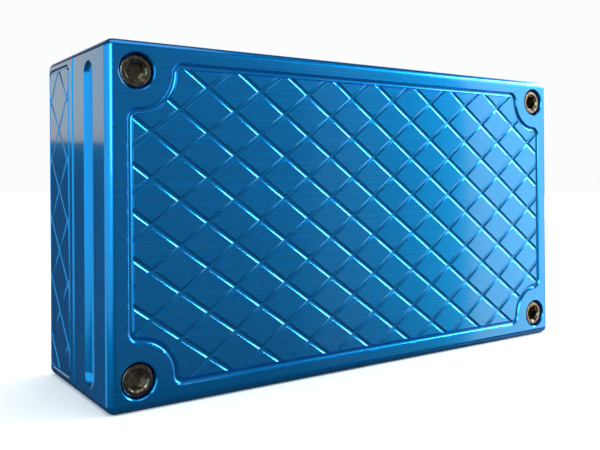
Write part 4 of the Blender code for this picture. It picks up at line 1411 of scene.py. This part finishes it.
def floor():
    bm = bmesh.new()
    bmesh.ops.create_grid(bm, x_segments=1, y_segments=1, size=FLOOR_REACH)
    mesh = mesh_from("studio_floor", bm)
    obj = placed("studio_floor", mesh)
    finish = Finish("pale_floor", (FLOOR_TONE, FLOOR_TONE, FLOOR_TONE), 0.0, 0.7)
    finish.set("Specular IOR Level", 0.0)
    speck = finish.noise(900)
    low, high = (FLOOR_TONE + change for change in (-0.01, 0.01))
    finish.colour(finish.blend(finish.remap(speck, 0.0, 1.0), (low, low, low), (high, high, high)))
    mesh.materials.append(finish.material)
    obj.visible_glossy = False
    obj.visible_shadow = False


WARM = (1.0, 0.88, 0.62)
AMBER = (1.0, 0.68, 0.30)
CYAN = (0.85, 1.0, 1.0)
DEEP_CYAN = (0.45, 1.0, 0.95)


def soft_light(name, azimuths, elevations, distance, radiance, colour=(1, 1, 1)):
    """A rectangular soft light that faces the case and fills a range of azimuths and elevations, in
    degrees. Azimuth 0 is in front of the case and 90 to its right."""
    width, height = (2 * distance * math.tan(math.radians(b - a) / 2) for a, b in (azimuths, elevations))
    data = bpy.data.lights.new(name, "AREA")
    data.shape = "RECTANGLE"
    data.size = width
    data.size_y = height
    data.energy = radiance * math.pi * width * height
    data.color = colour
    obj = placed(name, data)
    turn, lift = (math.radians(sum(ends) / 2) for ends in (azimuths, elevations))
    out = Vector((math.sin(turn) * math.cos(lift), -math.cos(turn) * math.cos(lift), math.sin(lift)))
    obj.location = Vector((0, 0, MIDDLE_Z)) + out * distance
    obj.rotation_euler = out.to_track_quat("Z", "Y").to_euler()


def lights():
    soft_light("right_panel", (47.5, 64), (-16, 30), 0.7, 1.9, WARM)
    soft_light("right_wide", (34, 56), (-16, 30), 0.8, 0.11)
    soft_light("right_low", (64, 100), (-14, 12), 0.7, 1.0)
    soft_light("right_under", (62, 100), (-42, -14), 0.75, 0.3)
    soft_light("groove_key", (60, 102), (12, 38), 0.69, 11.0, CYAN)
    soft_light("front_fill", (-6, 40), (-16, 34), 0.9, 0.085)
    soft_light("left_strip", (-54, -30), (1, 40), 0.7, 3.2, CYAN)
    soft_light("left_wide", (-112, -28), (-12, 34), 0.75, 0.8, DEEP_CYAN)
    soft_light("left_fill", (-150, -112), (-20, 20), 0.9, 0.7, DEEP_CYAN)
    soft_light("back_left_panel", (-177, -154), (3.4, 17), 0.9, 1.2, AMBER)
    soft_light("top_panel", (-20, 30), (60, 100), 0.7, 0.8)
    soft_light("back_right_panel", (112, 150), (-8, 34), 0.9, 1.0)
    soft_light("rear_fill", (150, 183), (-16, 34), 0.95, 0.25)


def world():
    """A pale room that lights the floor, about the floor's own tone behind it, so that no horizon shows,
    and a dimmer room for what the metal reflects."""
    made = bpy.data.worlds.new("studio")
    bpy.context.scene.world = made
    made.use_nodes = True
    tree = made.node_tree
    tree.nodes.clear()
    path = tree.nodes.new("ShaderNodeLightPath")
    tones = []
    for tone in (ROOM, BEHIND, DIM):
        node = tree.nodes.new("ShaderNodeBackground")
        node.inputs["Color"].default_value = (*tone, 1)
        tones.append(node.outputs[0])
    shown = tones[0]
    for ray, tone in zip(("Is Camera Ray", "Is Glossy Ray"), tones[1:]):
        mix = tree.nodes.new("ShaderNodeMixShader")
        tree.links.new(path.outputs[ray], mix.inputs["Fac"])
        tree.links.new(shown, mix.inputs[1])
        tree.links.new(tone, mix.inputs[2])
        shown = mix.outputs[0]
    output = tree.nodes.new("ShaderNodeOutputWorld")
    tree.links.new(shown, output.inputs["Surface"])


def camera():
    """Near the front's left end, a little above the case's middle, nearly level, the frame shifted down."""
    data = bpy.data.cameras.new("camera")
    data.lens = 43.9
    data.sensor_width = 36
    data.shift_y = -0.084
    data.clip_start = 0.005
    obj = placed("camera", data)
    obj.location = (-62.7 * MM, -85.5 * MM, 25.0 * MM)
    yaw, pitch, roll = (math.radians(angle) for angle in (34.35, 0.25, -0.42))
    turn = Matrix.Rotation(-yaw, 4, "Z") @ Matrix.Rotation(math.pi / 2 + pitch, 4, "X")
    obj.rotation_euler = (turn @ Matrix.Rotation(roll, 4, "Z")).to_euler()
    bpy.context.scene.camera = obj


bpy.context.scene.view_settings.view_transform = "Standard"
blue = brushed_anodise()
steel = surface("tinned_steel")
tin = surface("solder_tin")
gold = surface("gold_plate")
mask = surface("green_solder_mask")
epoxy = surface("black_epoxy")
plastic = surface("black_plastic")
cream = surface("cream_plastic")
ceramic = surface("tan_ceramic")
ferrite = surface("grey_ferrite")

front_case(blue)
rear_case(blue)
screws("case_screw", FRONT, black_oxide())
screws("board_screw", REAR, surface("stainless_steel"))
main_board(mask)
board_copper(surface("green_track"), tin, surface("white_ink"))
small_parts(ceramic, epoxy, tin)
processor(epoxy, mask, tin)
thermal_pad(surface("grey_silicone"))
wireless_shield(steel)
power_chip(epoxy, tin)
crystal(steel, ceramic)
status_led(surface("clear_green_led"), cream, tin)
inductors(ferrite, tin)
capacitors(ceramic, tin)
for port_name in PLUGS:
    port_shell(port_name, steel)
    port_core(port_name, plastic, gold)
card_slot(steel, plastic, gold)
memory_card(plastic, gold)
camera_connector(cream, plastic, tin)
pin_header(plastic, gold)
floor()
lights()
world()
camera()
